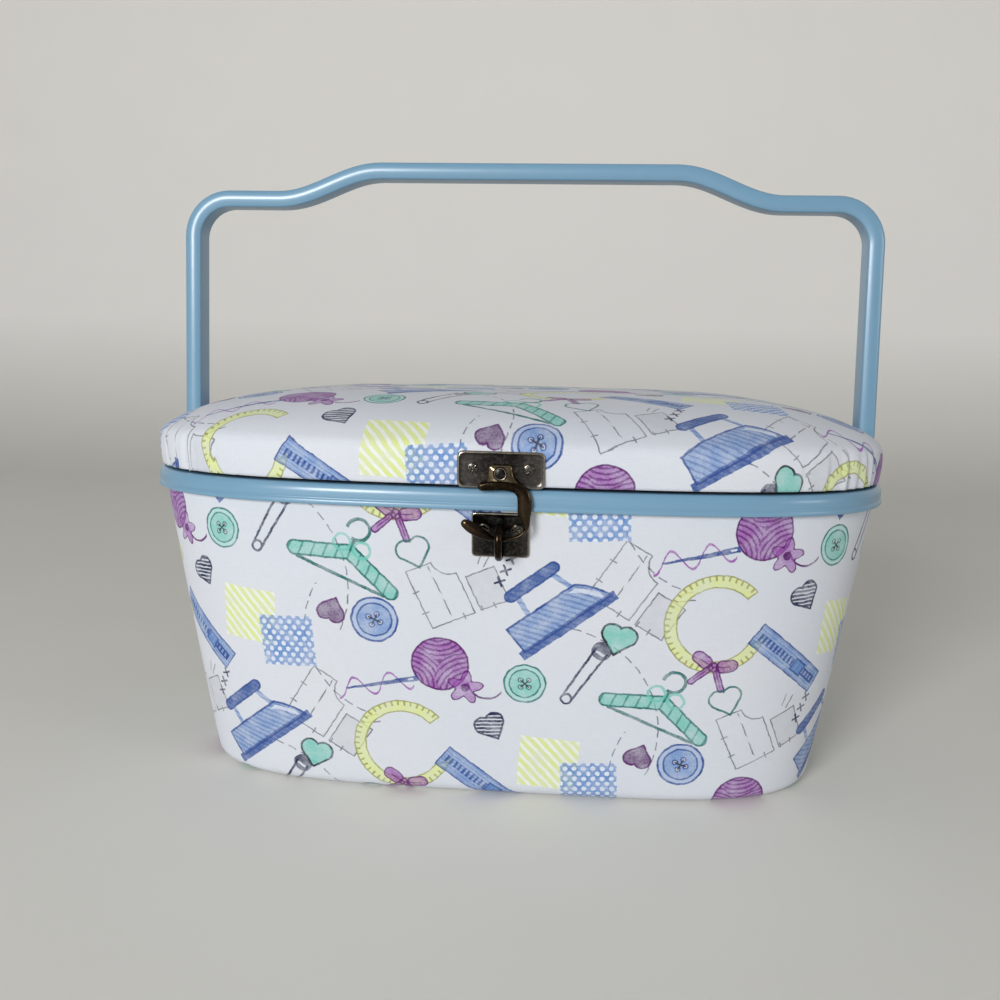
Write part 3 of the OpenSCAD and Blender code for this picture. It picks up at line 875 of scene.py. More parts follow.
@dataclass(frozen=True)
class FlatIron(Motif):
    """An old flat iron, 40 mm long at scale 1, in two washes of one colour."""

    wash: Ink = Ink.BLUE
    line: Ink = Ink.DEEP_BLUE

    def draw(self, brush: Brush) -> list[Layer]:
        """Cut the sole and body from a box and a circle, and set the handle on top."""
        nose = brush.disc(-8, -22, 29)
        body = brush.box(0, -5, 20, 5.5).most(nose)
        sole = brush.box(-1, -11.2, 21, 1.7)
        grip = brush.stroke((-11, 10), (8, 10), 4.2)
        posts = brush.strokes([((-9, 9), (-10, 0)), ((6, 9), (9, 0))], 1.8)
        shine = brush.ring(-8, -25, 29, 1.5).most(brush.box(0, -5, 16, 4))
        whole = body.least(sole).least(grip).least(posts)
        hatch = brush.sheet.math("PINGPONG", brush.x * 0.8 + brush.y * 0.6, 1.0) - 0.3
        return [
            (whole.ink() * 0.78, self.wash),
            (hatch.most(whole).ink() * 0.45, self.line),
            (sole.least(grip).ink() * 0.8, self.line),
            (shine.ink() * 0.7, Ink.WHITE),
            ((abs(body) - 0.3).least(abs(grip) - 0.25).ink(), self.line),
        ]


@dataclass(frozen=True)
class DressHanger(Motif):
    """A padded hanger with a ribbon at its hook, 44 mm wide at scale 1."""

    wash: Ink = Ink.TEAL
    line: Ink = Ink.SEA

    def draw(self, brush: Brush) -> list[Layer]:
        """Draw two padded arms, the bar, the hook and two ribbon loops."""
        arms = brush.strokes([((-20, -5), (0, 3)), ((0, 3), (20, -5))], 5.4)
        bar = brush.stroke((-18, -7.5), (18, -7.5), 1.1)
        hook = brush.ring(0, 12.5, 4.2, 1.1).most(brush.box(-6.2, 8.6, 5, 3.2) * -1.0)
        stem = brush.stroke((0, 4), (0, 8.4), 1.1)
        bows = brush.ring(-4, 5.5, 3.2, 0.9).least(brush.ring(4, 5.5, 3.2, 0.9))
        quilting = brush.sheet.math("PINGPONG", brush.x, 2.2) - 0.25
        return [
            (arms.ink() * 0.85, self.wash),
            (quilting.most(arms).ink() * 0.75, self.line),
            ((abs(arms) - 0.3).least(bar).ink(), self.line),
            (hook.least(stem).ink(), self.line),
            (bows.ink() * 0.9, self.wash),
        ]


@dataclass(frozen=True)
class DashedArc(Motif):
    """A long dashed curve, part of a circle."""

    radius: float = 42.0
    spread: float = 34.0
    line: Ink = Ink.NAVY

    def draw(self, brush: Brush) -> list[Layer]:
        """Keep the dashes of a circle that lie inside a box to the right."""
        line = brush.ring(0, 0, self.radius, 0.35).most(brush.arc_dashes(self.radius, 6.0))
        return [(line.most(brush.box(self.radius, 0, 20, self.spread)).ink() * 0.8, self.line)]


@dataclass(frozen=True)
class TapeCurl(Motif):
    """A curl of measuring tape with plain ticks and no numbers."""

    radius: float = 19.0
    fill: Ink = Ink.LIME
    line: Ink = Ink.OLIVE

    def draw(self, brush: Brush) -> list[Layer]:
        """Draw a band round most of a circle, its edges and ticks."""
        gap = brush.box(self.radius, -8, 12, 9) * -1.0
        band = brush.ring(0, 0, self.radius, 5.0).most(gap)
        ticks = brush.arc_dashes(self.radius, 2.6, 0.22).most(
            brush.ring(0, 0, self.radius + 1.4, 2.0)
        )
        return [
            (band.ink() * 0.85, self.fill),
            (ticks.most(band).ink() * 0.9, self.line),
            ((abs(band) - 0.2).ink() * 0.9, self.line),
        ]


@dataclass(frozen=True)
class CrossStitches(Motif):
    """Three small crosses in a row."""

    line: Ink = Ink.NAVY

    def draw(self, brush: Brush) -> list[Layer]:
        """Fold the row onto one cross and draw it."""
        sheet = brush.sheet
        x, y = brush.x, brush.y
        folded = Brush.at(sheet, sheet.math("WRAP", x, -2.6, 2.6), y)
        cross = folded.strokes([((-1.4, -1.4), (1.4, 1.4)), ((-1.4, 1.4), (1.4, -1.4))], 0.7)
        return [(cross.most(brush.box(0, 0, 7.6, 4)).ink(), self.line)]


@dataclass(frozen=True)
class Flower(Motif):
    """A five-petalled flower in a loose outline."""

    fill: Ink = Ink.PURPLE
    line: Ink = Ink.PLUM

    def draw(self, brush: Brush) -> list[Layer]:
        """Fold the plane into five petals and draw one."""
        sheet = brush.sheet
        x, y = brush.x, brush.y
        reach = sheet.vector("LENGTH", brush.point)
        wave = sheet.math("COSINE", sheet.math("ARCTAN2", y, x) * 5.0)
        petals = reach - wave.times_plus(1.7, 5.6)
        heart = brush.disc(0, 0, 1.7)
        return [
            (petals.ink() * 0.75, self.fill),
            ((abs(petals) - 0.3).ink(), self.line),
            (heart.ink(), self.line),
        ]


@dataclass(frozen=True)
class Zipper(Motif):
    """A short zip with its slider, 44 mm long at scale 1."""

    wash: Ink = Ink.TEAL
    line: Ink = Ink.SEA

    def draw(self, brush: Brush) -> list[Layer]:
        """Draw the tape, the teeth, the slider and its pull."""
        tape = brush.box(0, 0, 22, 5.6)
        teeth = (brush.sheet.math("PINGPONG", brush.x, 1.2) - 0.5).most(brush.box(0, 0, 21, 1.7))
        threads = (brush.sheet.math("PINGPONG", brush.y, 0.8) - 0.16).most(tape)
        slider = brush.box(7, 0, 3.4, 2.9)
        pull = brush.frame(15, 0, 4.6, 1.6, 0.9)
        return [
            (tape.ink() * 0.8, self.wash),
            (threads.ink() * 0.4, self.line),
            ((abs(tape) - 0.25).least(teeth).ink(), self.line),
            (slider.ink(), self.wash),
            ((abs(slider) - 0.35).least(pull).ink(), self.line),
        ]


@dataclass(frozen=True)
class Bow(Motif):
    """A tied ribbon, 24 mm wide at scale 1."""

    fill: Ink = Ink.PURPLE
    line: Ink = Ink.PLUM

    def draw(self, brush: Brush) -> list[Layer]:
        """Fold left onto right, and draw one loop, one tail and the knot."""
        sheet = brush.sheet
        folded = Brush.at(sheet, abs(brush.x), brush.y)
        loop = folded.stroke((4.5, 1.4), (8.5, 3.2), 6.4)
        tail = folded.stroke((1.5, -1.0), (8.0, -10.5), 3.0)
        knot = folded.disc(0, 0, 2.4)
        creases = folded.strokes([((1.5, 0.5), (7.5, 2.2)), ((2.5, -2.4), (7.0, -9.0))], 0.5)
        whole = loop.least(tail).least(knot)
        return [
            (whole.ink() * 0.85, self.fill),
            ((abs(loop) - 0.3).least(abs(tail) - 0.3).least(abs(knot) - 0.35).ink(), self.line),
            (creases.ink() * 0.8, self.line),
        ]


@dataclass(frozen=True)
class PrintedCotton:
    """White-lilac cotton printed with a half-drop repeat of sewing motifs, with painted shade in its
    creases.
    """

    name: str
    motifs: tuple[Motif, ...]
    repeat_x: float = 124.0
    repeat_y: float = 118.0

    def brush_for(self, sheet: Sheet, u: Field, v: Field, motif: Motif) -> Brush:
        """Hold a brush in a motif's own frame.

        Args:
            sheet: The material's nodes.
            u: The point on the cloth across, in millimetres.
            v: The point on the cloth upwards.
            motif: The motif.

        Returns:
            A brush at the point from the nearest copy of the motif, turned and scaled as it is.
        """
        right = u - motif.x
        column = sheet.math("FLOOR", right.times_plus(1 / self.repeat_x, 0.5))
        x = column.times_plus(-self.repeat_x, right)
        half = self.repeat_y / 2
        y = sheet.math("WRAP", column.times_plus(half, v - motif.y), -half, half)
        c = math.cos(math.radians(motif.turn)) / motif.scale
        s = math.sin(math.radians(motif.turn)) / motif.scale
        return Brush.at(sheet, x.times_plus(c, y * s), x.times_plus(-s, y * c))

    def build(self) -> bpy.types.Material:
        """Make the material."""
        material, sheet, shader = new_material(self.name)
        cloth = sheet.uv_point(CLOTH_UV)
        wobble = sheet.node("ShaderNodeTexNoise", {"Vector": cloth, "Scale": 0.35, "Detail": 2.0})
        shaken = sheet.vector(
            "MULTIPLY_ADD", wobble.outputs["Color"], (0.9, 0.9, 0.0), (-0.45, -0.45, 0.0)
        )
        right, up, _ = sheet.split(sheet.vector("ADD", cloth, shaken))
        wash = sheet.noise(cloth, 0.16, 4.0)
        grain = sheet.noise(cloth, 1.1, 3.0)
        strength = (wash * 1.3 + grain.times_plus(0.7, -0.18)).least(1.0)
        tint = sheet.noise(cloth, 0.012, 2.0)
        ground = sheet.mix(tint, srgb(211, 217, 228), srgb(224, 227, 231))
        colour = ground
        for motif in self.motifs:
            brush = self.brush_for(sheet, right, up, motif)
            for cover, ink in motif.draw(brush):
                colour = sheet.mix(cover * strength, colour, ink.value)
        u, v, _ = sheet.split(cloth)
        weft = sheet.noise(sheet.join(u * 0.22, v * 2.6), 1.0, 2.0)
        warp = sheet.noise(sheet.join(u * 2.6, v * 0.22), 1.0, 2.0)
        weave = weft * 0.6 + warp * 0.4
        shaded = sheet.node(
            "ShaderNodeMix",
            {0: weave * 0.3, 6: colour, 7: (0.55, 0.56, 0.62)},
            data_type="RGBA",
            blend_type="MULTIPLY",
        )
        # Painted shade: where the cover is hollow (low pointiness, in the pleats' creases) its colour
        # darkens towards grey-blue, standing in for the shade in the folds.
        bent = Field(sheet, sheet.node("ShaderNodeNewGeometry", {}).outputs["Pointiness"])
        folded = sheet.math("MULTIPLY_ADD", bent, -10.0, 4.75, clamp=True)
        shade = sheet.mix(folded * 0.8, shaded.outputs[2], srgb(92, 96, 110))
        sheet.feed(shader.inputs["Base Color"], shade)
        shader.inputs["Roughness"].default_value = 0.78
        shader.inputs["Specular IOR Level"].default_value = 0.3
        shader.inputs["Sheen Weight"].default_value = 0.12
        add_bump(sheet, shader, weave, 0.00022)
        return material


PRINT_MOTIFS: tuple[Motif, ...] = (
    DashedArc(18, 36, 30, 1.0, radius=46, spread=40),
    DashedArc(83, 16, 200, 1.0, radius=38, spread=30),
    PatternDraft(56, 97, -32, 1.2),
    PatternDraft(108, 38, 24, 1.15),
    TapeCurl(84, 84, 40, 0.95),
    Patch(20, 20, -4, 1.05, style=PatchStyle.STRIPES, fill=Ink.LIME),
    Patch(37, 10, 3, 1.0, style=PatchStyle.DOTS, fill=Ink.BLUE),
    FlatIron(20, 92, 38, 1.08),
    DressHanger(64, 47, -24, 1.05),
    Zipper(116, 68, -38, 0.9, wash=Ink.BLUE, line=Ink.DEEP_BLUE),
    YarnBall(100, 4, 15, 0.95),
    Button(74, 22, 20, 0.85),
    Button(10, 56, 0, 0.75, fill=Ink.TEAL, line=Ink.SEA),
    SafetyPin(34, 62, 58, 1.0),
    ThreadedNeedle(76, 112, 12, 1.0),
    Bow(84, 66, -16, 0.8),
    Heart(91, 50, 20, 1.05, style=HeartStyle.OUTLINE, line=Ink.SEA),
    Heart(46, 76, -14, 1.1),
    Heart(121, 94, 30, 1.0, style=HeartStyle.STRIPED, fill=Ink.NAVY, line=Ink.NAVY),
    Heart(57, 26, 160, 0.9, fill=Ink.PLUM, line=Ink.PLUM),
    Flower(110, 112, 10, 1.0),
    CrossStitches(2, 104, 65, 1.0),
)


# Sizes read from the frame


def top_of(node: str) -> Vector:
    """Return a CAD node's highest corner."""
    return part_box(node)[1]


def foot_of(node: str) -> Vector:
    """Return a CAD node's lowest corner."""
    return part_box(node)[0]


@dataclass(frozen=True)
class BasketShape:
    """The basket's outlines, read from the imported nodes, in metres."""

    rim_square: float = 3.6
    foot_square: float = 4.4
    foot_edge: float = 5.5 * MM
    band_height: float = 8 * MM
    proud: float = 3 * MM
    cloth: float = 0.8 * MM
    seat: float = 0.05 * MM
    half_y: float = field(default_factory=lambda: top_of("rim").y)
    wall_x: float = field(default_factory=lambda: top_of("side_cover").x)
    wall_y: float = field(default_factory=lambda: top_of("side_cover").y)
    wall_top: float = field(default_factory=lambda: top_of("side_cover").z)
    rim_top: float = field(default_factory=lambda: top_of("rim").z)
    floor_x: float = field(default_factory=lambda: top_of("floor_cover").x)
    floor_y: float = field(default_factory=lambda: top_of("floor_cover").y)

    @property
    def half_x(self) -> float:
        """Half the rim's length."""
        return self.wall_x + self.proud

    @property
    def neck(self) -> float:
        """Height at which the rim's band begins."""
        return self.rim_top - self.band_height

    @property
    def foot_x(self) -> float:
        """Half the underside's length, before its edge is rounded."""
        return self.floor_x + self.foot_edge + self.seat

    @property
    def foot_y(self) -> float:
        """Half the underside's depth, before its edge is rounded."""
        return self.floor_y + self.foot_edge + self.seat

    def wall(self, z: float, inset: float, turns: np.ndarray) -> np.ndarray:
        """Return the covered wall's outline at a height, moved in by an inset."""
        part = min(z / self.neck, 1.0)
        x = self.foot_x + (self.wall_x - self.foot_x) * part - inset
        y = self.foot_y + (self.wall_y - self.foot_y) * part - inset
        power = self.foot_square + (self.rim_square - self.foot_square) * part
        return at_height(superellipse(x, y, power, turns), z)

    def rim(self, inset: float, z: float, turns: np.ndarray, size: float = 1.0) -> np.ndarray:
        """Return the rim's outline moved in by an inset, at a height."""
        x, y = (self.half_x - inset) * size, (self.half_y - inset) * size
        return at_height(superellipse(x, y, self.rim_square, turns), z)

    def turns(self, count: int) -> np.ndarray:
        """Return angles for a ring round the basket."""
        return outline_turns(self.half_x, self.half_y, self.rim_square, count)


def rounded_profile(corners: Sequence[tuple], steps: int = 4) -> list[tuple[float, float]]:
    """Round the corners of a closed outline.

    Args:
        corners: Each corner as (x, y, radius).
        steps: How many points each rounded corner has, less one.

    Returns:
        The outline's points.
    """
    points: list[tuple[float, float]] = []
    count = len(corners)
    for i, (x, y, radius) in enumerate(corners):
        here = Vector((x, y))
        before = Vector(corners[i - 1][:2]) - here
        after = Vector(corners[(i + 1) % count][:2]) - here
        if radius <= 0:
            points.append((x, y))
            continue
        share_before = radius / (radius + max(corners[i - 1][2], 0.0))
        share_after = radius / (radius + max(corners[(i + 1) % count][2], 0.0))
        reach = min(
            radius, before.length * share_before * 0.995, after.length * share_after * 0.995
        )
        start, end = here + before.normalized() * reach, here + after.normalized() * reach
        for k in range(steps + 1):
            t = k / steps
            p = start * (1 - t) ** 2 + here * 2 * t * (1 - t) + end * t**2
            points.append((p.x, p.y))
    return points


def swell(piece: bpy.types.Object, voxel: float, pressure: float, reach: float) -> None:
    """Blow a closed form up as sewn cloth, and keep the result.

    Args:
        piece: The closed form.
        voxel: Size of the even faces that it is given first.
        pressure: Pressure inside it.
        reach: The furthest that a point may move.
    """
    even = piece.modifiers.new("even", "REMESH")
    even.mode = "VOXEL"
    even.voxel_size = voxel
    finish_modifiers(piece)
    start = np.array([v.co for v in piece.data.vertices])
    cloth = piece.modifiers.new("cloth", "CLOTH")
    cloth.settings.use_pressure = True
    cloth.settings.uniform_pressure_force = pressure
    cloth.settings.effector_weights.gravity = 0.0
    cloth.point_cache.frame_start, cloth.point_cache.frame_end = 1, 20
    for moment in range(1, 21):
        bpy.context.scene.frame_set(moment)
    finish_modifiers(piece)
    bpy.context.scene.frame_set(1)
    moved = np.array([v.co for v in piece.data.vertices]) - start
    far = np.linalg.norm(moved, axis=1, keepdims=True)
    moved *= np.minimum(1.0, reach / np.maximum(far, 1e-9))
    piece.data.vertices.foreach_set("co", (start + moved).astype(np.float32).ravel())
    smooth = piece.modifiers.new("smooth", "SUBSURF")
    smooth.levels = smooth.render_levels = 1
    finish_modifiers(piece).data.shade_smooth()


class StitchTree:
    """A Geometry Nodes tree that sews a run of stitches along a line of edges."""

    def __init__(self, material: bpy.types.Material) -> None:
        """Build the tree and the stitch that it repeats.

        Args:
            material: The thread's finish.
        """
        maker = MeshMaker()
        angles = np.linspace(0, 2 * math.pi, 6, endpoint=False)
        rings = [
            np.column_stack([np.full(6, x), np.cos(angles) * r, np.sin(angles) * r]) * MM
            for x, r in ((-0.85, 0.08), (-0.6, 0.2), (0.0, 0.24), (0.6, 0.2), (0.85, 0.08))
        ]
        maker.loft(rings, caps=(True, True))
        self.stitch = maker.build("stitch_pattern", material)
        self.stitch.hide_render = True
        tree = bpy.data.node_groups.new("sew_stitches", "GeometryNodeTree")
        face = tree.interface
        face.new_socket("Geometry", in_out="INPUT", socket_type="NodeSocketGeometry")
        face.new_socket("Geometry", in_out="OUTPUT", socket_type="NodeSocketGeometry")
        self.pitch = face.new_socket("Pitch", in_out="INPUT", socket_type="NodeSocketFloat")
        self.tree = tree
        made = [
            tree.nodes.new(kind)
            for kind in (
                *("NodeGroupInput", "GeometryNodeMeshToCurve", "GeometryNodeResampleCurve"),
                *("GeometryNodeInstanceOnPoints", "GeometryNodeRealizeInstances"),
                *("GeometryNodeSetMaterial", "NodeGroupOutput"),
            )
        ]
        start, _, even, put, _, paint, _ = made
        for before, after in zip(made, made[1:]):
            tree.links.new(before.outputs[0], after.inputs[0])
        even.mode = "LENGTH"
        paint.inputs["Material"].default_value = material
        model = tree.nodes.new("GeometryNodeObjectInfo")
        model.inputs["Object"].default_value = self.stitch
        along = tree.nodes.new("GeometryNodeInputTangent")
        turn = tree.nodes.new("FunctionNodeAlignRotationToVector")
        turn.axis = "X"
        tree.links.new(along.outputs[0], turn.inputs["Vector"])
        tree.links.new(turn.outputs[0], put.inputs["Rotation"])
        tree.links.new(model.outputs["Geometry"], put.inputs["Instance"])
        tree.links.new(start.outputs["Pitch"], even.inputs["Length"])

    def sew(self, name: str, points: np.ndarray, pitch: float, ring: bool) -> bpy.types.Object:
        """Sew stitches along points and return them as one plain mesh.

        Args:
            name: The piece's name.
            points: The seam's points in order.
            pitch: Distance from stitch to stitch.
            ring: Whether the seam runs back to its start.

        Returns:
            The stitches, at the origin.
        """
        count = len(points)
        edges = [(i, (i + 1) % count) for i in range(count if ring else count - 1)]
        mesh = bpy.data.meshes.new(name)
        mesh.from_pydata(points.tolist(), edges, [])
        piece = bpy.data.objects.new(name, mesh)
        bpy.context.scene.collection.objects.link(piece)
        modifier = piece.modifiers.new("stitches", "NODES")
        modifier.node_group = self.tree
        modifier[self.pitch.identifier] = pitch
        return finish_modifiers(piece)


def ride_for(piece: bpy.types.Object, body: str, slot: str, *nodes: str) -> bpy.types.Object:
    """Fix a piece to its body, and hide and log the nodes that it stands for."""
    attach(piece, body)
    if nodes:
        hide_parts(*nodes)
    log.info("%s rides on %s and stands for %s", piece.name, body, nodes or "nothing")
    return piece


# Sub-assemblies


@dataclass
class Materials:
    """Every finish of the basket, built once."""

    printed: bpy.types.Material
    backing: bpy.types.Material
    lining: bpy.types.Material
    wadding: bpy.types.Material
    cushion: bpy.types.Material
    blue: bpy.types.Material
    tray: bpy.types.Material
    bronze: bpy.types.Material
    forged: bpy.types.Material
    brass: bpy.types.Material
    steel: bpy.types.Material
    board: bpy.types.Material
    thread: bpy.types.Material

    @classmethod
    def make(cls) -> "Materials":
        """Build them all."""
        return cls(
            printed=PrintedCotton("printed_cotton", PRINT_MOTIFS).build(),
            backing=PlainCloth("backing_cloth", srgb(176, 180, 188)).build(),
            lining=PlainCloth("lining_cloth", srgb(232, 233, 236)).build(),
            wadding=PlainCloth("wadding", srgb(240, 240, 236), pitch=2.5).build(),
            cushion=PlainCloth("cushion_cotton", srgb(96, 172, 164)).build(),
            blue=MouldedPlastic("blue_plastic", srgb(113, 155, 183), roughness=0.34).build(),
            tray=MouldedPlastic("tray_plastic", srgb(224, 230, 238), roughness=0.4, coat=0.1).build(),
            bronze=AgedMetal("antique_bronze", srgb(66, 63, 62), srgb(206, 196, 178), 0.24).build(),
            forged=AgedMetal(
                "forged_bronze", srgb(64, 52, 40), srgb(206, 184, 146), 0.19, wear=0.45
            ).build(),
            brass=AgedMetal("worn_brass", srgb(112, 106, 94), srgb(216, 208, 192), 0.2).build(),
            steel=AgedMetal("pivot_steel", srgb(132, 136, 142), srgb(196, 198, 202)).build(),
            board=PressedBoard("pressed_board", srgb(176, 146, 106)).build(),
            thread=PlainCloth("thread", srgb(120, 150, 176), pitch=0.4).build(),
        )


@dataclass
class Case:
    """The covered case: board, printed cover, underside, lining and moulded rim."""

    shape: BasketShape
    ring_points: int = 448
    skirt_end: float = 9.95 * MM

    def cover_rows(self) -> list[tuple[float, float]]:
        """Return the printed cover's rows as (height, inset), from its hem to its top."""
        shape = self.shape
        radius = shape.foot_edge
        bend = np.radians(np.linspace(0, 90, 8))
        rows = [(radius * (1 - math.cos(t)), radius * (1 - math.sin(t))) for t in bend]
        rows += [(z, 0.0) for z in np.linspace(radius, shape.neck, 20)[1:]]
        return rows + [(shape.wall_top, 0.0)]

    def build_cover(self, materials: Materials) -> bpy.types.Object:
        """Stretch the printed cloth over the wall, with its seam at the rear."""
        shape = self.shape
        turns = shape.turns(self.ring_points)
        rows = self.cover_rows()
        rings = [shape.wall(z, inset, turns) for z, inset in rows]
        rng = np.random.default_rng(4)
        phases = rng.uniform(0, 2 * math.pi, 6)
        cloth, along, last = [], 0.0, None
        for ring, (z, inset) in zip(rings, rows):
            if last is not None:
                along += math.hypot(z - last[0], inset - last[1])
            last = (z, inset)
            lengths = ring_lengths(ring)
            u = (lengths - lengths[-1] / 2) / MM
            cloth.append(np.column_stack([u, np.full(len(u), along / MM)]))
            ease = math.sin(math.pi * min(max((z - 6 * MM) / (shape.neck - 6 * MM), 0), 1))
            wave = sum(
                np.sin(u[:-1] / (9 + 7 * k) + phase + z / MM / (14 + 5 * k))
                for k, phase in enumerate(phases)
            )
            outward = ring[:, :2] / np.linalg.norm(ring[:, :2], axis=1, keepdims=True)
            ring[:, :2] += outward * (wave * 0.05 * MM * ease)[:, None]
        maker = MeshMaker()
        maker.loft(rings, cloth)
        cover = thicken(maker.build("printed_side_cover", materials.printed), shape.cloth)
        ride_for(cover, "case", "print_fabric", "side_cover")
        return cover

    def build_underside(self, materials: Materials) -> bpy.types.Object:
        """Lay the plain backing cloth under the floor."""
        shape = self.shape
        turns = shape.turns(self.ring_points)
        rings = [
            at_height(superellipse(shape.floor_x * s, shape.floor_y * s, shape.foot_square, turns), z)
            for s, z in ((0.3, 0.0), (0.7, 0.0), (1.0, 0.0), (1.0, shape.cloth), (0.3, shape.cloth))
        ]
        maker = MeshMaker()
        maker.loft(rings, caps=(True, True))
        under = crease_by_angle(maker.build("underside_cloth", materials.backing))
        ride_for(under, "case", "base_fabric", "floor_cover")
        return under

    def build_rim(self, materials: Materials) -> bpy.types.Object:
        """Mould the rim: band, top, inner skirt, ledge and the two pivot bosses."""
        shape = self.shape
        top, neck, mm = shape.rim_top, shape.neck, MM
        skirt = self.skirt_end
        foot = foot_of("rim").z
        ledge = skirt + 6 * mm
        corners = [
            (0.25 * mm, neck, 0.3 * mm),
            (0, neck + 0.5 * mm, 0.4 * mm),
            (0, neck + 1.6 * mm, 0.5 * mm),
            (0.5 * mm, neck + 2.4 * mm, 0.4 * mm),
            (0.35 * mm, neck + 3.0 * mm, 0.5 * mm),
            (0.3 * mm, top - 2.2 * mm, 1.4 * mm),
            (1.4 * mm, top - 0.15 * mm, 1.2 * mm),
            (2.4 * mm, top, 0.4 * mm),
            (skirt, top, 0.8 * mm),
            (skirt, foot + 2 * mm, 0.4 * mm),
            (ledge, foot + 2 * mm, 0.5 * mm),
            (ledge, foot, 0.5 * mm),
            (skirt - 2.2 * mm, foot, 0.5 * mm),
            (skirt - 2.2 * mm, top - 2.6 * mm, 0.3 * mm),
            (shape.proud - 0.05 * mm, top - 2.6 * mm, 0.3 * mm),
            (shape.proud - 0.05 * mm, neck, 0.4 * mm),
        ]
        turns = shape.turns(320)
        rings = [shape.rim(inset, z, turns) for inset, z in rounded_profile(corners)]
        maker = MeshMaker()
        maker.loft(rings, closed=True)
        for side in (-1, 1):
            self.add_boss(maker, side)
        rim = crease_by_angle(maker.build("rim_moulding", materials.blue), 50)
        return ride_for(rim, "case", "blue_plastic", "rim")

    def add_boss(self, maker: MeshMaker, side: int) -> None:
        """Add one pivot boss to the rim's mesh.

        Args:
            maker: The rim's mesh.
            side: -1 for the left end, 1 for the right.
        """
        shape = self.shape
        pivot = (top_of("pivot_pins") + foot_of("pivot_pins")) / 2
        outer = top_of("rim").x
        inner = shape.wall_x + shape.seat
        angles = np.linspace(0, 2 * math.pi, 48, endpoint=False)
        profile = [(3.05, inner), (6.5, inner), (6.5, outer - 0.4 * MM), (6.1, outer), (3.05, outer)]
        rings = []
        for radius, x in profile:
            y = np.cos(angles) * radius * MM
            z = np.sin(angles) * radius * MM + pivot.z
            rings.append(np.column_stack([np.full(48, side * x), y * side, z]))
        maker.loft(rings, closed=True)

    def build_lining(self, materials: Materials) -> bpy.types.Object:
        """Hang the plain lining inside the case."""
        shape = self.shape
        turns = shape.turns(256)
        depth = 3.7 * MM
        base = foot_of("lining").z + 0.6 * MM
        heights = [shape.wall_top, shape.neck, *np.linspace(shape.neck, base + 4 * MM, 12)[1:]]
        rings = [shape.wall(z, depth, turns) for z in heights]
        rings.append(shape.wall(base + 1.2 * MM, depth + 1.0 * MM, turns))
        rings.append(shape.wall(base, depth + 4 * MM, turns))
        rings.append(shape.wall(base, depth + 40 * MM, turns))
        maker = MeshMaker()
        maker.loft(rings, caps=(False, True))
        lining = maker.build("case_lining", materials.lining)
        thicken(lining, 0.55 * MM)
        return ride_for(lining, "case", "lining_fabric", "lining")

    def dress(self, materials: Materials) -> None:
        """Build every piece of the case and give its boards their finish."""
        self.build_cover(materials)
        self.build_underside(materials)
        self.build_rim(materials)
        self.build_lining(materials)
        for node in ("side_wall", "floor_board"):
            set_material(node, materials.board)


def set_material(node: str, material: bpy.types.Material) -> None:
    """Give a CAD node a finish."""
    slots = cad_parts[node].data.materials
    slots.clear()
    slots.append(material)


# Pleats of the lid's corners, as (place along the edge from the corner, depth) in millimetres
PLEATS = (
    ((-14, 0.4), (2, 0.8), (8, 0.5), (19, 0.8), (30, 0.35)),
    ((-21, 0.25), (-9, 0.5), (1, 2.0), (8, 0.4), (14, 1.1), (20, 0.9), (30, 0.4)),
)


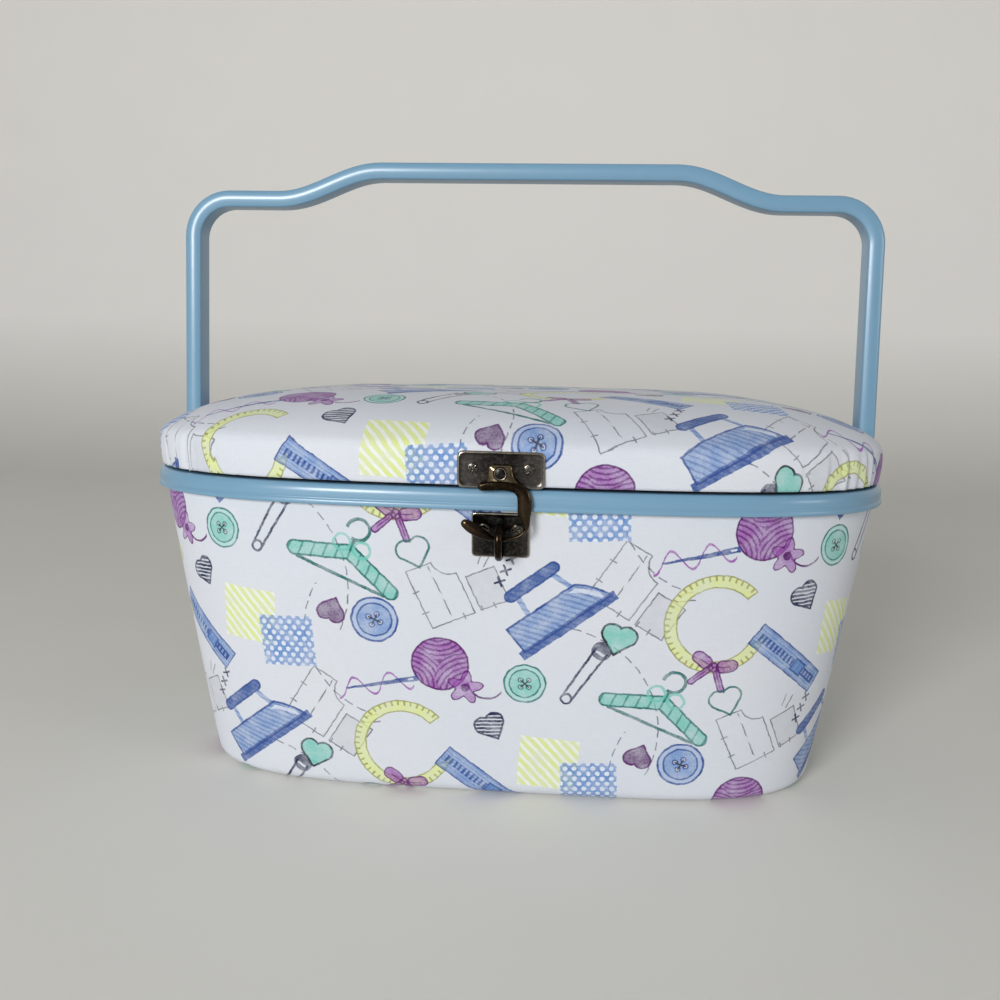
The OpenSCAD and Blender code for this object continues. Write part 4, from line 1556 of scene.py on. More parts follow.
@dataclass
class Lid:
    """The padded lid: printed cover, wadding, board, lining and what is sewn inside."""

    shape: BasketShape
    ring_points: int = 880
    side_rows: int = 15
    inset: float = 1.0 * MM
    tuck: float = 0.6 * MM
    crown: float = 18.0 * MM
    crown_power: float = 5.5
    edge_power: float = 1.1
    bottom: float = field(default_factory=lambda: foot_of("lid_cover").z)
    side_top: float = field(default_factory=lambda: top_of("lid_board").z)

    def rows(self, depth: float) -> list[tuple[float, float, float]]:
        """Return the rows over the lid's face as (inset, height, size), bottom edge first.

        Args:
            depth: How far inside the cover's face the rows lie.
        """
        height = self.side_top - self.bottom
        rows = []
        for t in np.linspace(0, 1, self.side_rows):
            bulge = 4 * t * (1 - t) * 0.35 * MM
            drawn = self.tuck * (1 - t) ** 2
            rows.append((self.inset + drawn - bulge + depth, self.bottom + height * t, 1.0))
        for size in CROWN_SIZES:
            rise = (1 - size**self.crown_power) ** (1 / self.edge_power)
            rows.append((self.inset + depth, self.side_top + (self.crown - depth) * rise, size))
        return rows

    def round_fold(self, rings: list[np.ndarray], fold: int) -> None:
        """Round the padding where the side turns into the top, by averaging rows there.

        Args:
            rings: The cover's rings, bottom edge first.
            fold: Number of the ring at the turn.
        """
        for _ in range(9):
            before = [ring.copy() for ring in rings]
            for k in range(fold - 6, fold + 7):
                rings[k] = (before[k - 1] + 2 * before[k] + before[k + 1]) / 4

    def cloth_points(self, rings: Sequence[np.ndarray], fold: int) -> list[np.ndarray]:
        """Lay the cover flat: the top as it is, and the side as a flap round it.

        Args:
            rings: The cover's rings, bottom edge first.
            fold: Number of the ring where the side turns into the top.

        Returns:
            Cloth coordinates for each ring, in millimetres.
        """
        rim = rings[fold][:, :2]
        ahead, behind = np.roll(rim, -1, 0), np.roll(rim, 1, 0)
        along = ahead - behind
        normal = np.column_stack([along[:, 1], -along[:, 0]])
        normal /= np.linalg.norm(normal, axis=1, keepdims=True)
        drop = np.zeros(len(rim))
        flat: dict[int, np.ndarray] = {}
        for k in range(fold - 1, -1, -1):
            drop = drop + np.linalg.norm(rings[k] - rings[k + 1], axis=1)
            flat[k] = rim + normal * drop[:, None]
        for k in range(fold, len(rings)):
            flat[k] = rings[k][:, :2]
        shift = np.array([[61.0, 262.0]])
        closed = [np.vstack([flat[k], flat[k][:1]]) / MM + shift for k in range(len(rings))]
        return closed

    def gather_corners(self, rings: list[np.ndarray], fold: int) -> None:
        """Press the small pleats of the tucked cloth into the corners of the side."""
        ring = rings[fold]
        lengths = ring_lengths(ring)[:-1]
        total = ring_lengths(ring)[-1]
        angle = np.arctan2(ring[:, 1] / self.shape.half_y, ring[:, 0] / self.shape.half_x)
        pleats = np.zeros(len(ring))
        for quarter in range(4):
            target = math.pi / 4 + quarter * math.pi / 2
            gap = np.abs(np.angle(np.exp(1j * (angle - target))))
            centre = lengths[int(np.argmin(gap))]
            for place, depth in PLEATS[quarter % 2]:
                off = np.angle(np.exp(2j * math.pi * (lengths - centre - place * MM) / total))
                off = off * total / (2 * math.pi) / MM
                crease = np.exp(-np.abs(off / np.where(off < 0, 0.7, 1.7)) ** 1.4)
                pleats += depth * (crease - 0.4 * np.exp(-(((off + 1.8) / 1.5) ** 2)))
        for k in range(fold + 3):
            fade = (1 - k / (fold + 3)) ** 0.9
            outward = rings[k][:, :2] / np.linalg.norm(rings[k][:, :2], axis=1, keepdims=True)
            rings[k][:, :2] -= outward * (pleats * 1.5 * MM * fade)[:, None]

    def build_cover(self, materials: Materials) -> bpy.types.Object:
        """Stretch the printed cloth over the padding and tuck it under the board."""
        turns = self.shape.turns(self.ring_points)
        rows = self.rows(0.0)
        rings = [self.shape.rim(inset, z, turns, size) for inset, z, size in rows]
        fold = self.side_rows - 1
        self.round_fold(rings, fold)
        self.soften(rings, fold)
        self.gather_corners(rings, fold)
        hem = [
            self.shape.rim(self.inset + self.tuck + 3.0 * MM, self.bottom, turns),
            self.shape.rim(self.inset + self.tuck + 0.6 * MM, self.bottom, turns),
        ]
        rings = hem + rings
        maker = MeshMaker()
        maker.loft(rings, self.cloth_points(rings, fold + 2), caps=(False, True))
        cover = thicken(maker.build("printed_lid_cover", materials.printed), 0.75 * MM)
        ride_for(cover, "lid", "print_fabric", "lid_cover")
        return cover

    def soften(self, rings: list[np.ndarray], fold: int) -> None:
        """Give the padded top its slight unevenness."""
        for k in range(fold, len(rings)):
            x, y = rings[k][:, 0] / MM, rings[k][:, 1] / MM
            swell = np.sin(x / 31 + 0.6) * np.sin(y / 27 + 1.1) + 0.5 * np.sin(x / 17 + y / 23)
            rings[k][:, 2] += swell * 0.25 * MM * min(1.0, (k - fold) / 6)

    def build_wadding(self, materials: Materials) -> bpy.types.Object:
        """Fill the space between board and cover with the domed wadding."""
        turns = self.shape.turns(192)
        rows = self.rows(0.95 * MM)[self.side_rows + 1 :]
        core = 2.6 * MM
        rings = [self.shape.rim(core + 4 * MM, self.side_top + 0.05 * MM, turns)]
        rings.append(self.shape.rim(core, self.side_top + 0.05 * MM, turns))
        for inset, z, size in rows:
            rings.append(self.shape.rim(max(inset, core), z - 0.3 * MM, turns, size))
        maker = MeshMaker()
        maker.loft(rings, caps=(True, True))
        wadding = maker.build("lid_wadding", materials.wadding)
        ride_for(wadding, "lid", "padding", "lid_padding")
        return wadding

    def build_pincushion(self, materials: Materials) -> bpy.types.Object:
        """Sew the pincushion to the lid's lining, with a piped seam round it."""
        low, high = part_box("pincushion")
        centre, half = (low + high) / 2, (high - low) / 2
        middle = np.array([[centre.x, centre.y]])
        turns = outline_turns(half.x, half.y, 3.0, 128)
        rows = [(math.sin(t) ** 0.75, -1.0 * math.cos(t)) for t in np.linspace(0.1, 1.57, 9)]
        rows += [(0.97, 0.3), (0.9, 0.6)]
        rings = []
        for size, rise in rows:
            flat = superellipse(half.x * size * 0.94, half.y * size * 0.94, 3.0, turns)
            rings.append(at_height(flat + middle, centre.z + half.z * (rise * 0.7 + 0.15)))
        maker = MeshMaker()
        maker.loft(rings, caps=(True, True))
        cushion = maker.build("pincushion_pad", materials.cushion)
        swell(cushion, 1.8 * MM, 4.0, 2.2 * MM)
        co = np.array([v.co for v in cushion.data.vertices])
        co[:, 2] = np.clip(co[:, 2], low.z - 1 * MM, high.z)
        cushion.data.vertices.foreach_set("co", co.astype(np.float32).ravel())
        ride_for(cushion, "lid", "cushion_fabric", "pincushion")
        seam = superellipse(half.x * 1.0 + 1.2 * MM, half.y * 1.0 + 1.2 * MM, 3.0, turns) + middle
        threads = StitchTree(materials.thread)
        around = threads.sew("pincushion_stitches", at_height(seam, high.z - 0.05 * MM), 2.6 * MM, True)
        ride_for(around, "lid", "lining_fabric")
        low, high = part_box("lid_pocket")
        left, right = low.x + 3 * MM, high.x - 3 * MM
        near, far = low.y + 3 * MM, high.y - 6 * MM
        corners = np.array([[left, far], [left, near], [right, near], [right, far]])
        run = threads.sew("pocket_stitches", at_height(corners, high.z - 1.75 * MM), 2.6 * MM, False)
        ride_for(run, "lid", "lining_fabric")
        bpy.data.objects.remove(threads.stitch)
        return cushion

    def build_pocket(self, materials: Materials) -> bpy.types.Object:
        """Sew the pocket to the lid's lining, gathered along its open edge."""
        low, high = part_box("lid_pocket")
        across = np.linspace(low.x + 1 * MM, high.x - 1 * MM, 181)
        down = np.linspace(low.y + 1 * MM, high.y - 1 * MM, 25)
        maker = MeshMaker()
        rows = []
        for k, y in enumerate(down):
            share = k / (len(down) - 1)
            gather = 0.75 * MM * (0.25 + 0.75 * share**3)
            wave = np.sin((across - low.x) / (3.4 * MM) * math.pi) * gather
            belly = 0.5 * MM * math.sin(math.pi * share)
            z = high.z - 1.15 * MM + wave * 0.5 - belly * 0.4
            rows.append(np.column_stack([across, np.full(len(across), y), z]))
        first = maker.add_points(np.vstack(rows))
        count = len(across)
        for k in range(len(down) - 1):
            for i in range(count - 1):
                a = first + k * count + i
                maker.faces.append((a, a + count, a + count + 1, a + 1))
                maker.face_uvs.append(())
        pocket = thicken(maker.build("lid_pocket_cloth", materials.lining), 0.5 * MM)
        ride_for(pocket, "lid", "lining_fabric", "lid_pocket")
        return pocket

    def dress(self, materials: Materials) -> None:
        """Build every piece of the lid."""
        self.build_cover(materials)
        self.build_wadding(materials)
        self.build_pincushion(materials)
        self.build_pocket(materials)
        set_material("lid_board", materials.board)
        lining = eased_copy("lid_lining", "lid_lining_cloth", materials.lining, 0.25 * MM, 2)
        ride_for(lining, "lid", "lining_fabric", "lid_lining")


@dataclass
class Handle:
    """The carrying handle: a band with crowned edges, swept along its bow."""

    thickness: float = 7.8 * MM
    width: float = 14.5 * MM
    crown: float = 1.3 * MM
    lean: float = 2.1 * MM
    corner: float = 18.5 * MM
    drop: float = 13.5 * MM
    grip: float = 140 * MM
    curve: float = 50 * MM
    eye: float = 9 * MM

    def path(self) -> np.ndarray:
        """Return the band's centre line in X and Z, from the right pivot to the left."""
        low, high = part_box("handle")
        pivot_x, pivot_z = high.x - self.thickness / 2, low.z + self.eye
        shoulder = high.z - self.thickness / 2 - self.drop
        corner_x = pivot_x - self.lean
        points = [(pivot_x, pivot_z), (pivot_x, pivot_z + self.eye)]
        for t in np.linspace(0.2, 0.8, 4):
            z0, z1 = pivot_z + self.eye, shoulder - self.corner
            points.append((pivot_x - self.lean * t, z0 + (z1 - z0) * t))
        for t in np.radians(np.linspace(0, 90, 13)):
            points.append(
                (
                    corner_x - self.corner * (1 - math.cos(t)),
                    shoulder - self.corner * (1 - math.sin(t)),
                )
            )
        outer, inner = self.grip / 2 + self.curve, self.grip / 2
        for u in np.linspace(0, 1, 17):
            points.append(
                (outer + (inner - outer) * u, shoulder + self.drop * (1 - math.cos(math.pi * u)) / 2)
            )
        for x in np.linspace(inner, 0, 5)[1:]:
            points.append((x, high.z - self.thickness / 2))
        right = np.array(points)
        left = right[-2::-1] * np.array([[-1, 1]])
        return np.vstack([right, left])

    def section(self) -> np.ndarray:
        """Return the band's section as (out, across), crowned at its front and rear."""
        half_t, half_w = self.thickness / 2, self.width / 2
        side = half_w - self.crown
        corners = [
            (half_t, -side, 1.5 * MM),
            (half_t, side, 1.5 * MM),
            (0.0, half_w, 2.4 * MM),
            (-half_t, side, 0.9 * MM),
            (-half_t, -side, 0.9 * MM),
            (0.0, -half_w, 2.4 * MM),
        ]
        return np.array(rounded_profile(corners, 8))

    def build(self, materials: Materials) -> bpy.types.Object:
        """Sweep the band and add the eye at the foot of each leg."""
        path, section = self.path(), self.section()
        ahead = np.gradient(path, axis=0)
        ahead /= np.linalg.norm(ahead, axis=1, keepdims=True)
        outward = np.column_stack([ahead[:, 1], -ahead[:, 0]])
        rings = []
        for (x, z), (nx, nz) in zip(path, outward):
            rings.append(
                np.column_stack([x + nx * section[:, 0], section[:, 1], z + nz * section[:, 0]])
            )
        maker = MeshMaker()
        maker.loft(rings, caps=(True, True))
        for side in (-1, 1):
            self.add_eye(maker, side)
        handle = crease_by_angle(maker.build("handle_band", materials.blue), 40)
        return ride_for(handle, "handle", "blue_plastic", "handle")

    def add_eye(self, maker: MeshMaker, side: int) -> None:
        """Add the round eye that turns on the pivot pin.

        Args:
            maker: The handle's mesh.
            side: -1 for the left leg, 1 for the right.
        """
        low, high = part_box("handle")
        outer, inner = high.x, high.x - self.thickness
        centre = low.z + self.eye
        angles = np.linspace(0, 2 * math.pi, 64, endpoint=False)
        bore, eye = 3.05 * MM, self.eye
        profile = [
            (bore, inner),
            (eye - 0.8 * MM, inner),
            (eye, inner + 0.8 * MM),
            (eye, outer - 2.4 * MM),
            (eye - 0.7 * MM, outer - 0.7 * MM),
            (eye - 2.4 * MM, outer),
            (bore, outer),
        ]
        rings = []
        for radius, x in profile:
            y, z = np.cos(angles) * radius, np.sin(angles) * radius + centre
            rings.append(np.column_stack([np.full(64, side * x), side * y, z]))
        maker.loft(rings, closed=True)


# Centre line of the hook about its rivet, as (x, z, half width) in millimetres
HOOK_SPINE = (
    (-6.8, -4.9, 1.7),
    (-4.0, -4.5, 1.95),
    (0.0, -4.3, 1.9),
    (3.6, -4.5, 1.95),
    (6.5, -5.4, 2.15),
    (8.4, -7.4, 2.45),
    (9.2, -10.4, 2.7),
    (9.2, -13.2, 2.65),
    (9.3, -15.6, 2.3),
    (9.9, -17.7, 1.5),
    (10.2, -19.6, 0.95),
    (9.1, -21.8, 0.8),
    (6.8, -23.4, 0.75),
    (3.4, -24.4, 0.75),
    (0.0, -24.7, 0.8),
    (-2.9, -24.3, 0.95),
    (-5.6, -23.0, 1.7),
    (-8.6, -21.5, 2.15),
    (-11.2, -20.0, 2.1),
    (-12.6, -19.1, 1.75),
)


def smooth_through(places: np.ndarray, values: np.ndarray, wanted: np.ndarray) -> np.ndarray:
    """Run a smooth curve through values at rising places.

    Args:
        places: Where the values stand.
        values: The values.
        wanted: Where the curve is read.

    Returns:
        The curve's values.
    """
    slopes = np.gradient(values, places)
    k = np.clip(np.searchsorted(places, wanted, side="right") - 1, 0, len(places) - 2)
    span = places[k + 1] - places[k]
    t = (wanted - places[k]) / span
    rise, ease = 3 * t**2 - 2 * t**3, t * (1 - t)
    level = values[k] * (1 - rise) + values[k + 1] * rise
    return level + span * ease * ((1 - t) * slopes[k] - t * slopes[k + 1])


@dataclass
class Latch:
    """The bronze hook latch at the front."""

    shape: BasketShape
    plate: float = 1.0 * MM

    def plate_rings(self, half_x: float, half_z: float, corner: float, bead: float) -> list[np.ndarray]:
        """Return a pressed plate's rings in its own plane, back to front.

        Args:
            half_x: Half the plate's width.
            half_z: Half the plate's height.
            corner: Radius of its corners.
            bead: Height of the raised border over the panel.

        Returns:
            Rings of (x, out, z), where out is the height over the plate's back.
        """
        profile = [
            (0.0, 0.0),
            (0.0, 0.55),
            (0.12, 0.85),
            (0.4, 1.0 + bead),
            (0.8, 1.0 + bead),
            (1.15, 1.0 - bead * 0.5),
            (1.6, 1.0 - bead),
            (2.3, 1.0 - bead),
            (3.4, 1.0 - bead),
            (6.0, 1.0 - bead),
        ]
        rings = []
        for inset, out in profile:
            i = inset * MM
            corners = [
                (side * (half_x - i), up * (half_z - i), corner)
                for side, up in ((1, -1), (1, 1), (-1, 1), (-1, -1))
            ]
            flat = np.array(rounded_profile(corners, 8))
            rings.append(np.column_stack([flat[:, 0], np.full(len(flat), out * MM), flat[:, 1]]))
        return rings

    def build_keeper(self, materials: Materials) -> bpy.types.Object:
        """Press the plate on the lid."""
        low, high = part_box("keeper_plate")
        centre, half = (low + high) / 2, (high - low) / 2
        maker = MeshMaker()
        rings = self.plate_rings(half.x, half.z, 2.6 * MM, 0.14)
        placed = [
            np.column_stack([r[:, 0] + centre.x, high.y - r[:, 1], r[:, 2] + centre.z])
            for r in rings
        ]
        maker.loft(placed, caps=(True, True))
        plate = crease_by_angle(maker.build("keeper_plate_pressing", materials.bronze), 60)
        return ride_for(plate, "lid", "bronze", "keeper_plate")

    def lean_frame(self) -> Matrix:
        """Return the place of the plate on the leaning front wall."""
        shape = self.shape
        run = (shape.wall_y - shape.foot_y) / shape.neck
        low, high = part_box("catch_plate")
        middle = (low.z + high.z) / 2
        y = shape.wall_y + shape.seat - (shape.neck - middle) * run
        return Matrix.Translation((0, -y, middle)) @ Matrix.Rotation(math.atan(run), 4, "X")

    def build_catch(self, materials: Materials) -> bpy.types.Object:
        """Press the plate on the case."""
        low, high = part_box("catch_plate")
        half_x = (high.x - low.x) / 2
        half_z = 9.0 * MM
        place = self.lean_frame()
        rings = []
        for ring in self.plate_rings(half_x, half_z, 1.6 * MM, 0.12):
            rings.append(np.array([place @ Vector((x, -out, z)) for x, out, z in ring]))
        maker = MeshMaker()
        maker.loft(rings, caps=(True, True))
        plate = crease_by_angle(maker.build("catch_plate_pressing", materials.bronze), 60)
        return ride_for(plate, "case", "bronze", "catch_plate")

    def build_hook(self, materials: Materials) -> bpy.types.Object:
        """Forge the hook: finger bar, round arm, tapered tip, and the tab at the rivet."""
        low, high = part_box("hook")
        back, front = high.y, low.y
        middle_y = (back + front) / 2
        rivet = (top_of("hook_rivet") + foot_of("hook_rivet")) / 2
        spine = np.array(HOOK_SPINE)
        steps = np.linalg.norm(np.diff(spine[:, :2], axis=0), axis=1)
        along = np.concatenate([[0], np.cumsum(steps)])
        fine = np.linspace(0, along[-1], 72)
        parts = [smooth_through(along, spine[:, k], fine) for k in range(3)]
        path = [
            (x * MM, rivet.z + z * MM, half * MM, (0.95 + 0.1 * half) * MM)
            for x, z, half in zip(*parts)
        ]
        points = np.array([(x, z) for x, z, _, _ in path])
        ahead = np.gradient(points, axis=0)
        ahead /= np.linalg.norm(ahead, axis=1, keepdims=True)
        side = np.column_stack([-ahead[:, 1], ahead[:, 0]])
        angles = np.linspace(0, 2 * math.pi, 28, endpoint=False)
        rings = []
        for end, count in ((0, 6), (None, 0), (-1, 6)):
            if end is None:
                for (x, z, half, deep), (sx, sz) in zip(path, side):
                    c = np.cos(angles) * half
                    y = middle_y + np.sin(angles) * deep
                    rings.append(np.column_stack([x + sx * c, y, z + sz * c]))
                continue
            x, z, half, deep = path[end]
            steps = np.radians(np.linspace(80, 10, count))
            if end == -1:
                steps = steps[::-1]
            for t in steps:
                push = math.sin(t) * half * (-1 if end == 0 else 1)
                scale = math.cos(t)
                c = np.cos(angles) * half * scale
                y = middle_y + np.sin(angles) * deep * scale
                px = x + ahead[end][0] * push + side[end][0] * c
                pz = z + ahead[end][1] * push + side[end][1] * c
                rings.append(np.column_stack([px, y, pz]))
        maker = MeshMaker()
        maker.loft(rings, caps=(True, True))
        self.add_tab(maker, rivet, back, front)
        hook = maker.build("hook_forging", materials.forged)
        work = bmesh.new()
        work.from_mesh(hook.data)
        bmesh.ops.recalc_face_normals(work, faces=work.faces)
        work.to_mesh(hook.data)
        work.free()
        crease_by_angle(hook, 60)
        return ride_for(hook, "hook", "bronze", "hook")

    def add_tab(self, maker: MeshMaker, rivet: Vector, back: float, front: float) -> None:
        """Add the tab that the rivet holds.

        Args:
            maker: The hook's mesh.
            rivet: Middle of the rivet.
            back: The hook's rear face.
            front: The hook's front face.
        """
        profile = [(0.35, back), (0.0, back - 0.3 * MM), (0.0, front + 0.4 * MM), (0.45, front)]
        rings = []
        for inset, y in profile:
            i = inset * MM
            corners = [
                (4.4 * MM - i, -0.4 * MM, 2.0 * MM),
                (4.4 * MM - i, 3.0 * MM - i, 1.1 * MM),
                (-4.5 * MM + i, 3.0 * MM - i, 1.1 * MM),
                (-4.5 * MM + i, -1.6 * MM, 1.0 * MM),
                (-5.6 * MM + i, -4.6 * MM + i, 0.8 * MM),
                (8.2 * MM - i, -5.6 * MM + i, 0.9 * MM),
                (7.4 * MM - i, -4.2 * MM, 2.0 * MM),
            ]
            flat = np.array(rounded_profile(corners, 4))
            rings.append(
                np.column_stack(
                    [flat[:, 0] + rivet.x, np.full(len(flat), y), flat[:, 1] + rivet.z]
                )
            )
        maker.loft(rings, caps=(True, True))

    def build_rivet(self, materials: Materials) -> bpy.types.Object:
        """Turn the hook's domed rivet."""
        low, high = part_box("hook_rivet")
        centre = (low + high) / 2
        profile = [
            (0.4, low.y + 0.02 * MM),
            (1.7, low.y + 0.06 * MM),
            (1.95, low.y + 0.16 * MM),
            (2.05, low.y + 0.42 * MM),
            (2.2, low.y + 0.44 * MM),
            (2.36, low.y + 0.26 * MM),
            (2.58, low.y + 0.34 * MM),
            (2.68, low.y + 0.62 * MM),
            (2.68, low.y + 1.05 * MM),
            (1.6, low.y + 1.2 * MM),
            (1.6, high.y),
        ]
        rings = []
        angles = np.linspace(0, 2 * math.pi, 48, endpoint=False)
        for radius, y in profile:
            x = np.cos(angles) * radius * MM + centre.x
            z = np.sin(angles) * radius * MM + centre.z
            rings.append(np.column_stack([x, np.full(48, y), z]))
        maker = MeshMaker()
        maker.loft(rings, caps=(True, True))
        rivet = crease_by_angle(maker.build("hook_rivet_turning", materials.bronze), 60)
        return ride_for(rivet, "lid", "brass_screws", "hook_rivet")

    def build_staple(self, materials: Materials) -> bpy.types.Object:
        """Bend the wire eye that the hook passes through."""
        place = self.lean_frame()
        back = place.inverted()
        co = np.array([back @ v.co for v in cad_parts["staple"].data.vertices])
        low, high = co.min(0), co.max(0)
        middle, wire = (low[2] + high[2]) / 2, (high[0] - low[0]) / 2
        bend = (high[2] - low[2]) / 2 - wire
        reach = low[1] + wire + bend
        turns = np.radians(np.linspace(90, -90, 25))
        arc = [(reach - bend * math.cos(t), middle + bend * math.sin(t)) for t in turns]
        path = np.array([(-0.2 * MM, middle + bend), *arc, (-0.2 * MM, middle - bend)])
        ahead = np.gradient(path, axis=0)
        ahead /= np.linalg.norm(ahead, axis=1, keepdims=True)
        angles = np.linspace(0, 2 * math.pi, 24, endpoint=False)
        rings = []
        for (y, z), (dy, dz) in zip(path, ahead):
            x, across = np.cos(angles) * wire * 1.25, np.sin(angles) * wire
            ring = zip(x, y - dz * across, z + dy * across)
            rings.append(np.array([place @ Vector(point) for point in ring]))
        maker = MeshMaker()
        maker.loft(rings, caps=(True, True))
        staple = crease_by_angle(maker.build("staple_wire_eye", materials.forged), 60)
        return ride_for(staple, "case", "bronze", "staple")

    def dress(self, materials: Materials) -> None:
        """Build the latch's pieces."""
        self.build_keeper(materials)
        self.build_catch(materials)
        self.build_hook(materials)
        self.build_rivet(materials)
        self.build_staple(materials)


class ScrewTree:
    """A Geometry Nodes tree that sets a screw on each point of a mesh."""

    def __init__(self, screw: bpy.types.Object, material: bpy.types.Material) -> None:
        """Build the tree.

        Args:
            screw: One screw at the origin, whose head points along its +Z.
            material: The screws' finish.
        """
        tree = bpy.data.node_groups.new("set_screws", "GeometryNodeTree")
        face = tree.interface
        face.new_socket("Geometry", in_out="INPUT", socket_type="NodeSocketGeometry")
        face.new_socket("Geometry", in_out="OUTPUT", socket_type="NodeSocketGeometry")
        turn = face.new_socket("Turn", in_out="INPUT", socket_type="NodeSocketVector")
        size = face.new_socket("Size", in_out="INPUT", socket_type="NodeSocketFloat")
        spin = face.new_socket("Spin", in_out="INPUT", socket_type="NodeSocketFloat")
        size.default_value = 1.0
        self.tree, self.turn, self.size, self.spin = tree, turn, size, spin
        nodes, links = tree.nodes, tree.links
        start = nodes.new("NodeGroupInput")
        end = nodes.new("NodeGroupOutput")
        model = nodes.new("GeometryNodeObjectInfo")
        model.inputs["Object"].default_value = screw
        points = nodes.new("GeometryNodeMeshToPoints")
        put = nodes.new("GeometryNodeInstanceOnPoints")
        twist = nodes.new("FunctionNodeRandomValue")
        twist.data_type = "FLOAT"
        twist.inputs["Seed"].default_value = 7
        about = nodes.new("ShaderNodeCombineXYZ")
        roll = nodes.new("GeometryNodeRotateInstances")
        real = nodes.new("GeometryNodeRealizeInstances")
        paint = nodes.new("GeometryNodeSetMaterial")
        paint.inputs["Material"].default_value = material
        links.new(start.outputs["Geometry"], points.inputs["Mesh"])
        links.new(points.outputs[0], put.inputs["Points"])
        links.new(model.outputs["Geometry"], put.inputs["Instance"])
        links.new(start.outputs["Turn"], put.inputs["Rotation"])
        links.new(start.outputs["Size"], put.inputs["Scale"])
        links.new(start.outputs["Spin"], twist.inputs[3])
        links.new(twist.outputs[1], about.inputs[2])
        links.new(put.outputs[0], roll.inputs["Instances"])
        links.new(about.outputs[0], roll.inputs["Rotation"])
        links.new(roll.outputs[0], real.inputs[0])
        links.new(real.outputs[0], paint.inputs["Geometry"])
        links.new(paint.outputs[0], end.inputs["Geometry"])

    def place(
        self, name: str, points: Sequence[Vector], turn: tuple, size: float, spin: float
    ) -> bpy.types.Object:
        """Set the screws and return them as one plain mesh.

        Args:
            name: The piece's name.
            points: Where each head's underside lies.
            turn: Rotation that points the heads outwards, in radians.
            size: Scale of the screws.
            spin: Largest turn of a screw about its own axis, in radians.

        Returns:
            The screws, at the origin.
        """
        mesh = bpy.data.meshes.new(name)
        mesh.from_pydata([tuple(p) for p in points], [], [])
        piece = bpy.data.objects.new(name, mesh)
        bpy.context.scene.collection.objects.link(piece)
        modifier = piece.modifiers.new("screws", "NODES")
        modifier.node_group = self.tree
        modifier[self.turn.identifier] = turn
        modifier[self.size.identifier] = size
        modifier[self.spin.identifier] = spin
        return finish_modifiers(piece)


@dataclass
class Fasteners:
    """The small cross-head screws of latch and hinges, and the pivot pins."""

    head: float = 2.2 * MM

    def build_screw(self, material: bpy.types.Material) -> bpy.types.Object:
        """Model one screw with a crossed recess in its domed head."""
        maker = MeshMaker()
        angles = np.linspace(0, 2 * math.pi, 96, endpoint=False)
        dome = [(r, 0.3 + 0.52 * math.sqrt(1 - (r / 2.2) ** 2)) for r in np.linspace(2.1, 0.06, 24)]
        profile = [(1.0, -2.2), (1.0, 0.0), (2.2, 0.0), (2.2, 0.2), *dome]
        rings = []
        for radius, z in profile:
            x, y = np.cos(angles) * radius, np.sin(angles) * radius
            cross = np.minimum(np.abs(x), np.abs(y))
            arm = np.clip((0.4 - cross) / 0.12, 0, 1) * min(max((1.6 - radius) / 0.12, 0), 1)
            sunk = arm * 0.75 if z > 0.25 else np.zeros(96)
            rings.append(np.column_stack([x, y, z - sunk]) * MM)
        maker.loft(rings, caps=(True, True))
        screw = crease_by_angle(maker.build("screw_pattern", material), 50)
        screw.hide_render = True
        return screw

    def screw_points(self, node: str, side: int) -> list[Vector]:
        """Find where the heads of a node's screws sit.

        Args:
            node: The CAD node that holds the screws.
            side: -1 where the heads point to the front, 1 to the rear.

        Returns:
            The middle of each head's underside.
        """
        co = np.array([v.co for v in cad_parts[node].data.vertices])
        face = co[:, 1].min() if side < 0 else co[:, 1].max()
        near = co[np.abs(co[:, 1] - face) < 2.0 * MM]
        groups: list[list[np.ndarray]] = []
        for point in near:
            for group in groups:
                if abs(group[0][0] - point[0]) < 5 * MM:
                    group.append(point)
                    break
            else:
                groups.append([point])
        spots = []
        for group in groups:
            cloud = np.array(group)
            middle = (cloud.min(0) + cloud.max(0)) / 2
            spots.append(Vector((middle[0], face - side * 0.8 * MM, middle[2])))
        return spots

    def dress(self, materials: Materials, latch: Latch) -> None:
        """Set every screw and round the pivot pins' heads."""
        screw = self.build_screw(materials.brass)
        tree = ScrewTree(screw, materials.brass)
        dark_tree = ScrewTree(screw, materials.bronze)
        forward = (math.pi / 2, 0.0, 0.0)
        rear = (-math.pi / 2, 0.0, 0.0)
        leaning = (math.pi / 2 + latch.lean_frame().to_euler().x, 0.0, 0.0)
        for group, body, sown, side, turn in (
            ("keeper", "lid", dark_tree, -1, forward),
            ("catch", "case", tree, -1, leaning),
            ("hinge_upper", "lid", tree, 1, rear),
            ("hinge_lower", "case", tree, 1, rear),
        ):
            spots = self.screw_points(f"{group}_screws", side)
            screws = sown.place(f"{group}_cross_screws", spots, turn, 1.0, 1.5)
            ride_for(screws, body, "brass_screws", f"{group}_screws")
        pins = eased_copy("pivot_pins", "pivot_pin_heads", materials.steel, 0.5 * MM)
        ride_for(pins, "case", "pivot_steel", "pivot_pins")
        bpy.data.objects.remove(screw)


@dataclass
class Hinges:
    """The two rear hinges."""

    ease: float = 0.2 * MM

    def dress(self, materials: Materials) -> None:
        """Round the leaves' edges and finish the pins."""
        upper = eased_copy("hinge_upper_leaves", "hinge_upper_leaf_set", materials.bronze, self.ease, 2)
        ride_for(upper, "lid", "bronze", "hinge_upper_leaves")
        lower = eased_copy("hinge_lower_leaves", "hinge_lower_leaf_set", materials.bronze, self.ease, 2)
        ride_for(lower, "case", "bronze", "hinge_lower_leaves")
        set_material("hinge_pins", materials.steel)


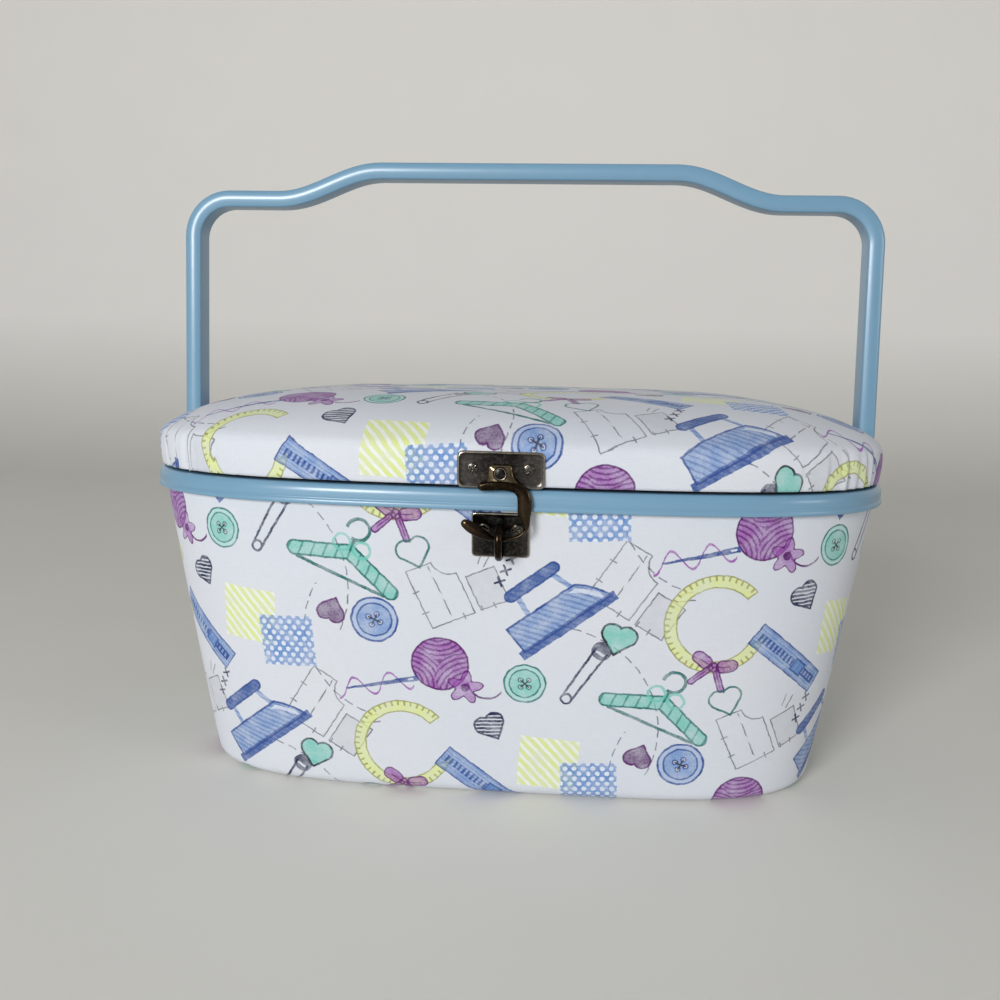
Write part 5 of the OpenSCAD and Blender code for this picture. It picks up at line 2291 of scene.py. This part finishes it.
@dataclass
class Tray:
    """The lift-out tray."""

    ease: float = 0.5 * MM

    def dress(self, materials: Materials) -> None:
        """Round the tray's edges."""
        tray = eased_copy("tray", "tray_moulding", materials.tray, self.ease, 2)
        ride_for(tray, "tray", "tray_plastic", "tray")


# Studio


@dataclass(frozen=True)
class Camera:
    """The photograph's camera, found from the basket's outlines, in millimetres."""

    focal: float = 973.2
    azimuth: float = -0.079
    elevation: float = 0.144
    distance: float = 487.6
    roll: float = 0.022
    target: Colour = (-10.0, 0.0, 111.0)

    def build(self) -> bpy.types.Object:
        """Place the camera."""
        az, el = self.azimuth, self.elevation
        ahead = Vector(
            (math.sin(az) * math.cos(el), math.cos(az) * math.cos(el), -math.sin(el))
        )
        right = Vector((math.cos(az), -math.sin(az), 0.0))
        up = right.cross(ahead)
        right, up = (
            right * math.cos(self.roll) + up * math.sin(self.roll),
            up * math.cos(self.roll) - right * math.sin(self.roll),
        )
        data = bpy.data.cameras.new("photo_camera")
        data.sensor_width = 36.0
        data.lens = self.focal * data.sensor_width / 1000
        data.clip_start = 0.01
        camera = bpy.data.objects.new("photo_camera", data)
        place = (Vector(self.target) - ahead * self.distance) * MM
        turn = Matrix((right, up, -ahead)).transposed()
        camera.matrix_world = Matrix.Translation(place) @ turn.to_4x4()
        bpy.context.scene.collection.objects.link(camera)
        bpy.context.scene.camera = camera
        return camera


@dataclass(frozen=True)
class Studio:
    """A pale floor with a curved backdrop, and soft lamps."""

    floor: Colour = srgb(230, 229, 223)
    wall: Colour = srgb(234, 232, 228)
    shade: Colour = srgb(204, 203, 198)
    lift: float = 0.22

    def build(self) -> None:
        """Lay the floor and hang the lamps."""
        material, sheet, shader = new_material("studio_floor")
        place = sheet.object_point()
        cloud = sheet.noise(place, 0.01, 4.0)
        rise = sheet.math("MULTIPLY", sheet.split(place)[2], 1 / 250, clamp=True)
        tone = sheet.mix(cloud * 0.2, sheet.mix(rise, self.floor, self.wall), self.shade)
        sheet.feed(shader.inputs["Base Color"], tone)
        seen = sheet.node("ShaderNodeLightPath", {}).outputs
        seen = Field(sheet, seen["Is Camera Ray"]) + Field(sheet, seen["Is Glossy Ray"])
        sheet.feed(shader.inputs["Emission Strength"], seen * rise * self.lift)
        shader.inputs["Emission Color"].default_value = (*self.wall, 1.0)
        shader.inputs["Roughness"].default_value = 0.75
        maker = MeshMaker()
        bend = [(-4.0, 0.0), (0.9, 0.0)]
        for t in np.radians(np.linspace(10, 90, 9)):
            bend.append((0.9 + 0.8 * math.sin(t), 0.8 * (1 - math.cos(t))))
        bend.append((1.7, 4.0))
        rows = [np.array([[x, y, z] for x in (-5.0, 5.0)]) for y, z in bend]
        first = maker.add_points(np.vstack(rows))
        for k in range(len(rows) - 1):
            a = first + 2 * k
            maker.faces.append((a, a + 1, a + 3, a + 2))
            maker.face_uvs.append(())
        floor = maker.build("studio_floor", material)
        world = bpy.data.worlds.new("studio_world")
        world.use_nodes = True
        world.node_tree.nodes["Background"].inputs[0].default_value = (1.0, 0.99, 0.98, 1.0)
        world.node_tree.nodes["Background"].inputs[1].default_value = 0.31
        bpy.context.scene.world = world
        self.lamp("key_lamp", (-0.7, -1.75, 0.62), 0.55, 24.2)
        self.lamp("fill_lamp", (1.6, -0.9, 0.5), 0.5, 3.2)
        self.lamp("top_lamp", (0.1, 0.3, 1.7), 1.0, 0.4)
        scene = bpy.context.scene
        scene.view_settings.view_transform = "Standard"

    def lamp(self, name: str, place: Colour, size: float, power: float) -> None:
        """Hang one soft lamp that looks at the basket.

        Args:
            name: The lamp's name.
            place: Where it hangs, in metres.
            size: Width of its square face.
            power: Its power in watts.
        """
        data = bpy.data.lights.new(name, "AREA")
        data.size = size
        data.energy = power
        lamp = bpy.data.objects.new(name, data)
        lamp.location = place
        aim = Vector((0, 0, 0.13)) - lamp.location
        lamp.rotation_euler = aim.to_track_quat("-Z", "Y").to_euler()
        bpy.context.scene.collection.objects.link(lamp)


def main() -> None:
    """Build the basket's pieces in order, then the studio."""
    logging.basicConfig(level=logging.INFO, format="%(name)s: %(message)s")
    Camera().build()
    materials = Materials.make()
    shape = BasketShape()
    Case(shape).dress(materials)
    Lid(shape).dress(materials)
    Handle().build(materials)
    latch = Latch(shape)
    latch.dress(materials)
    Fasteners().dress(materials, latch)
    Hinges().dress(materials)
    Tray().dress(materials)
    Studio().build()


if __name__ == "__main__":
    main()
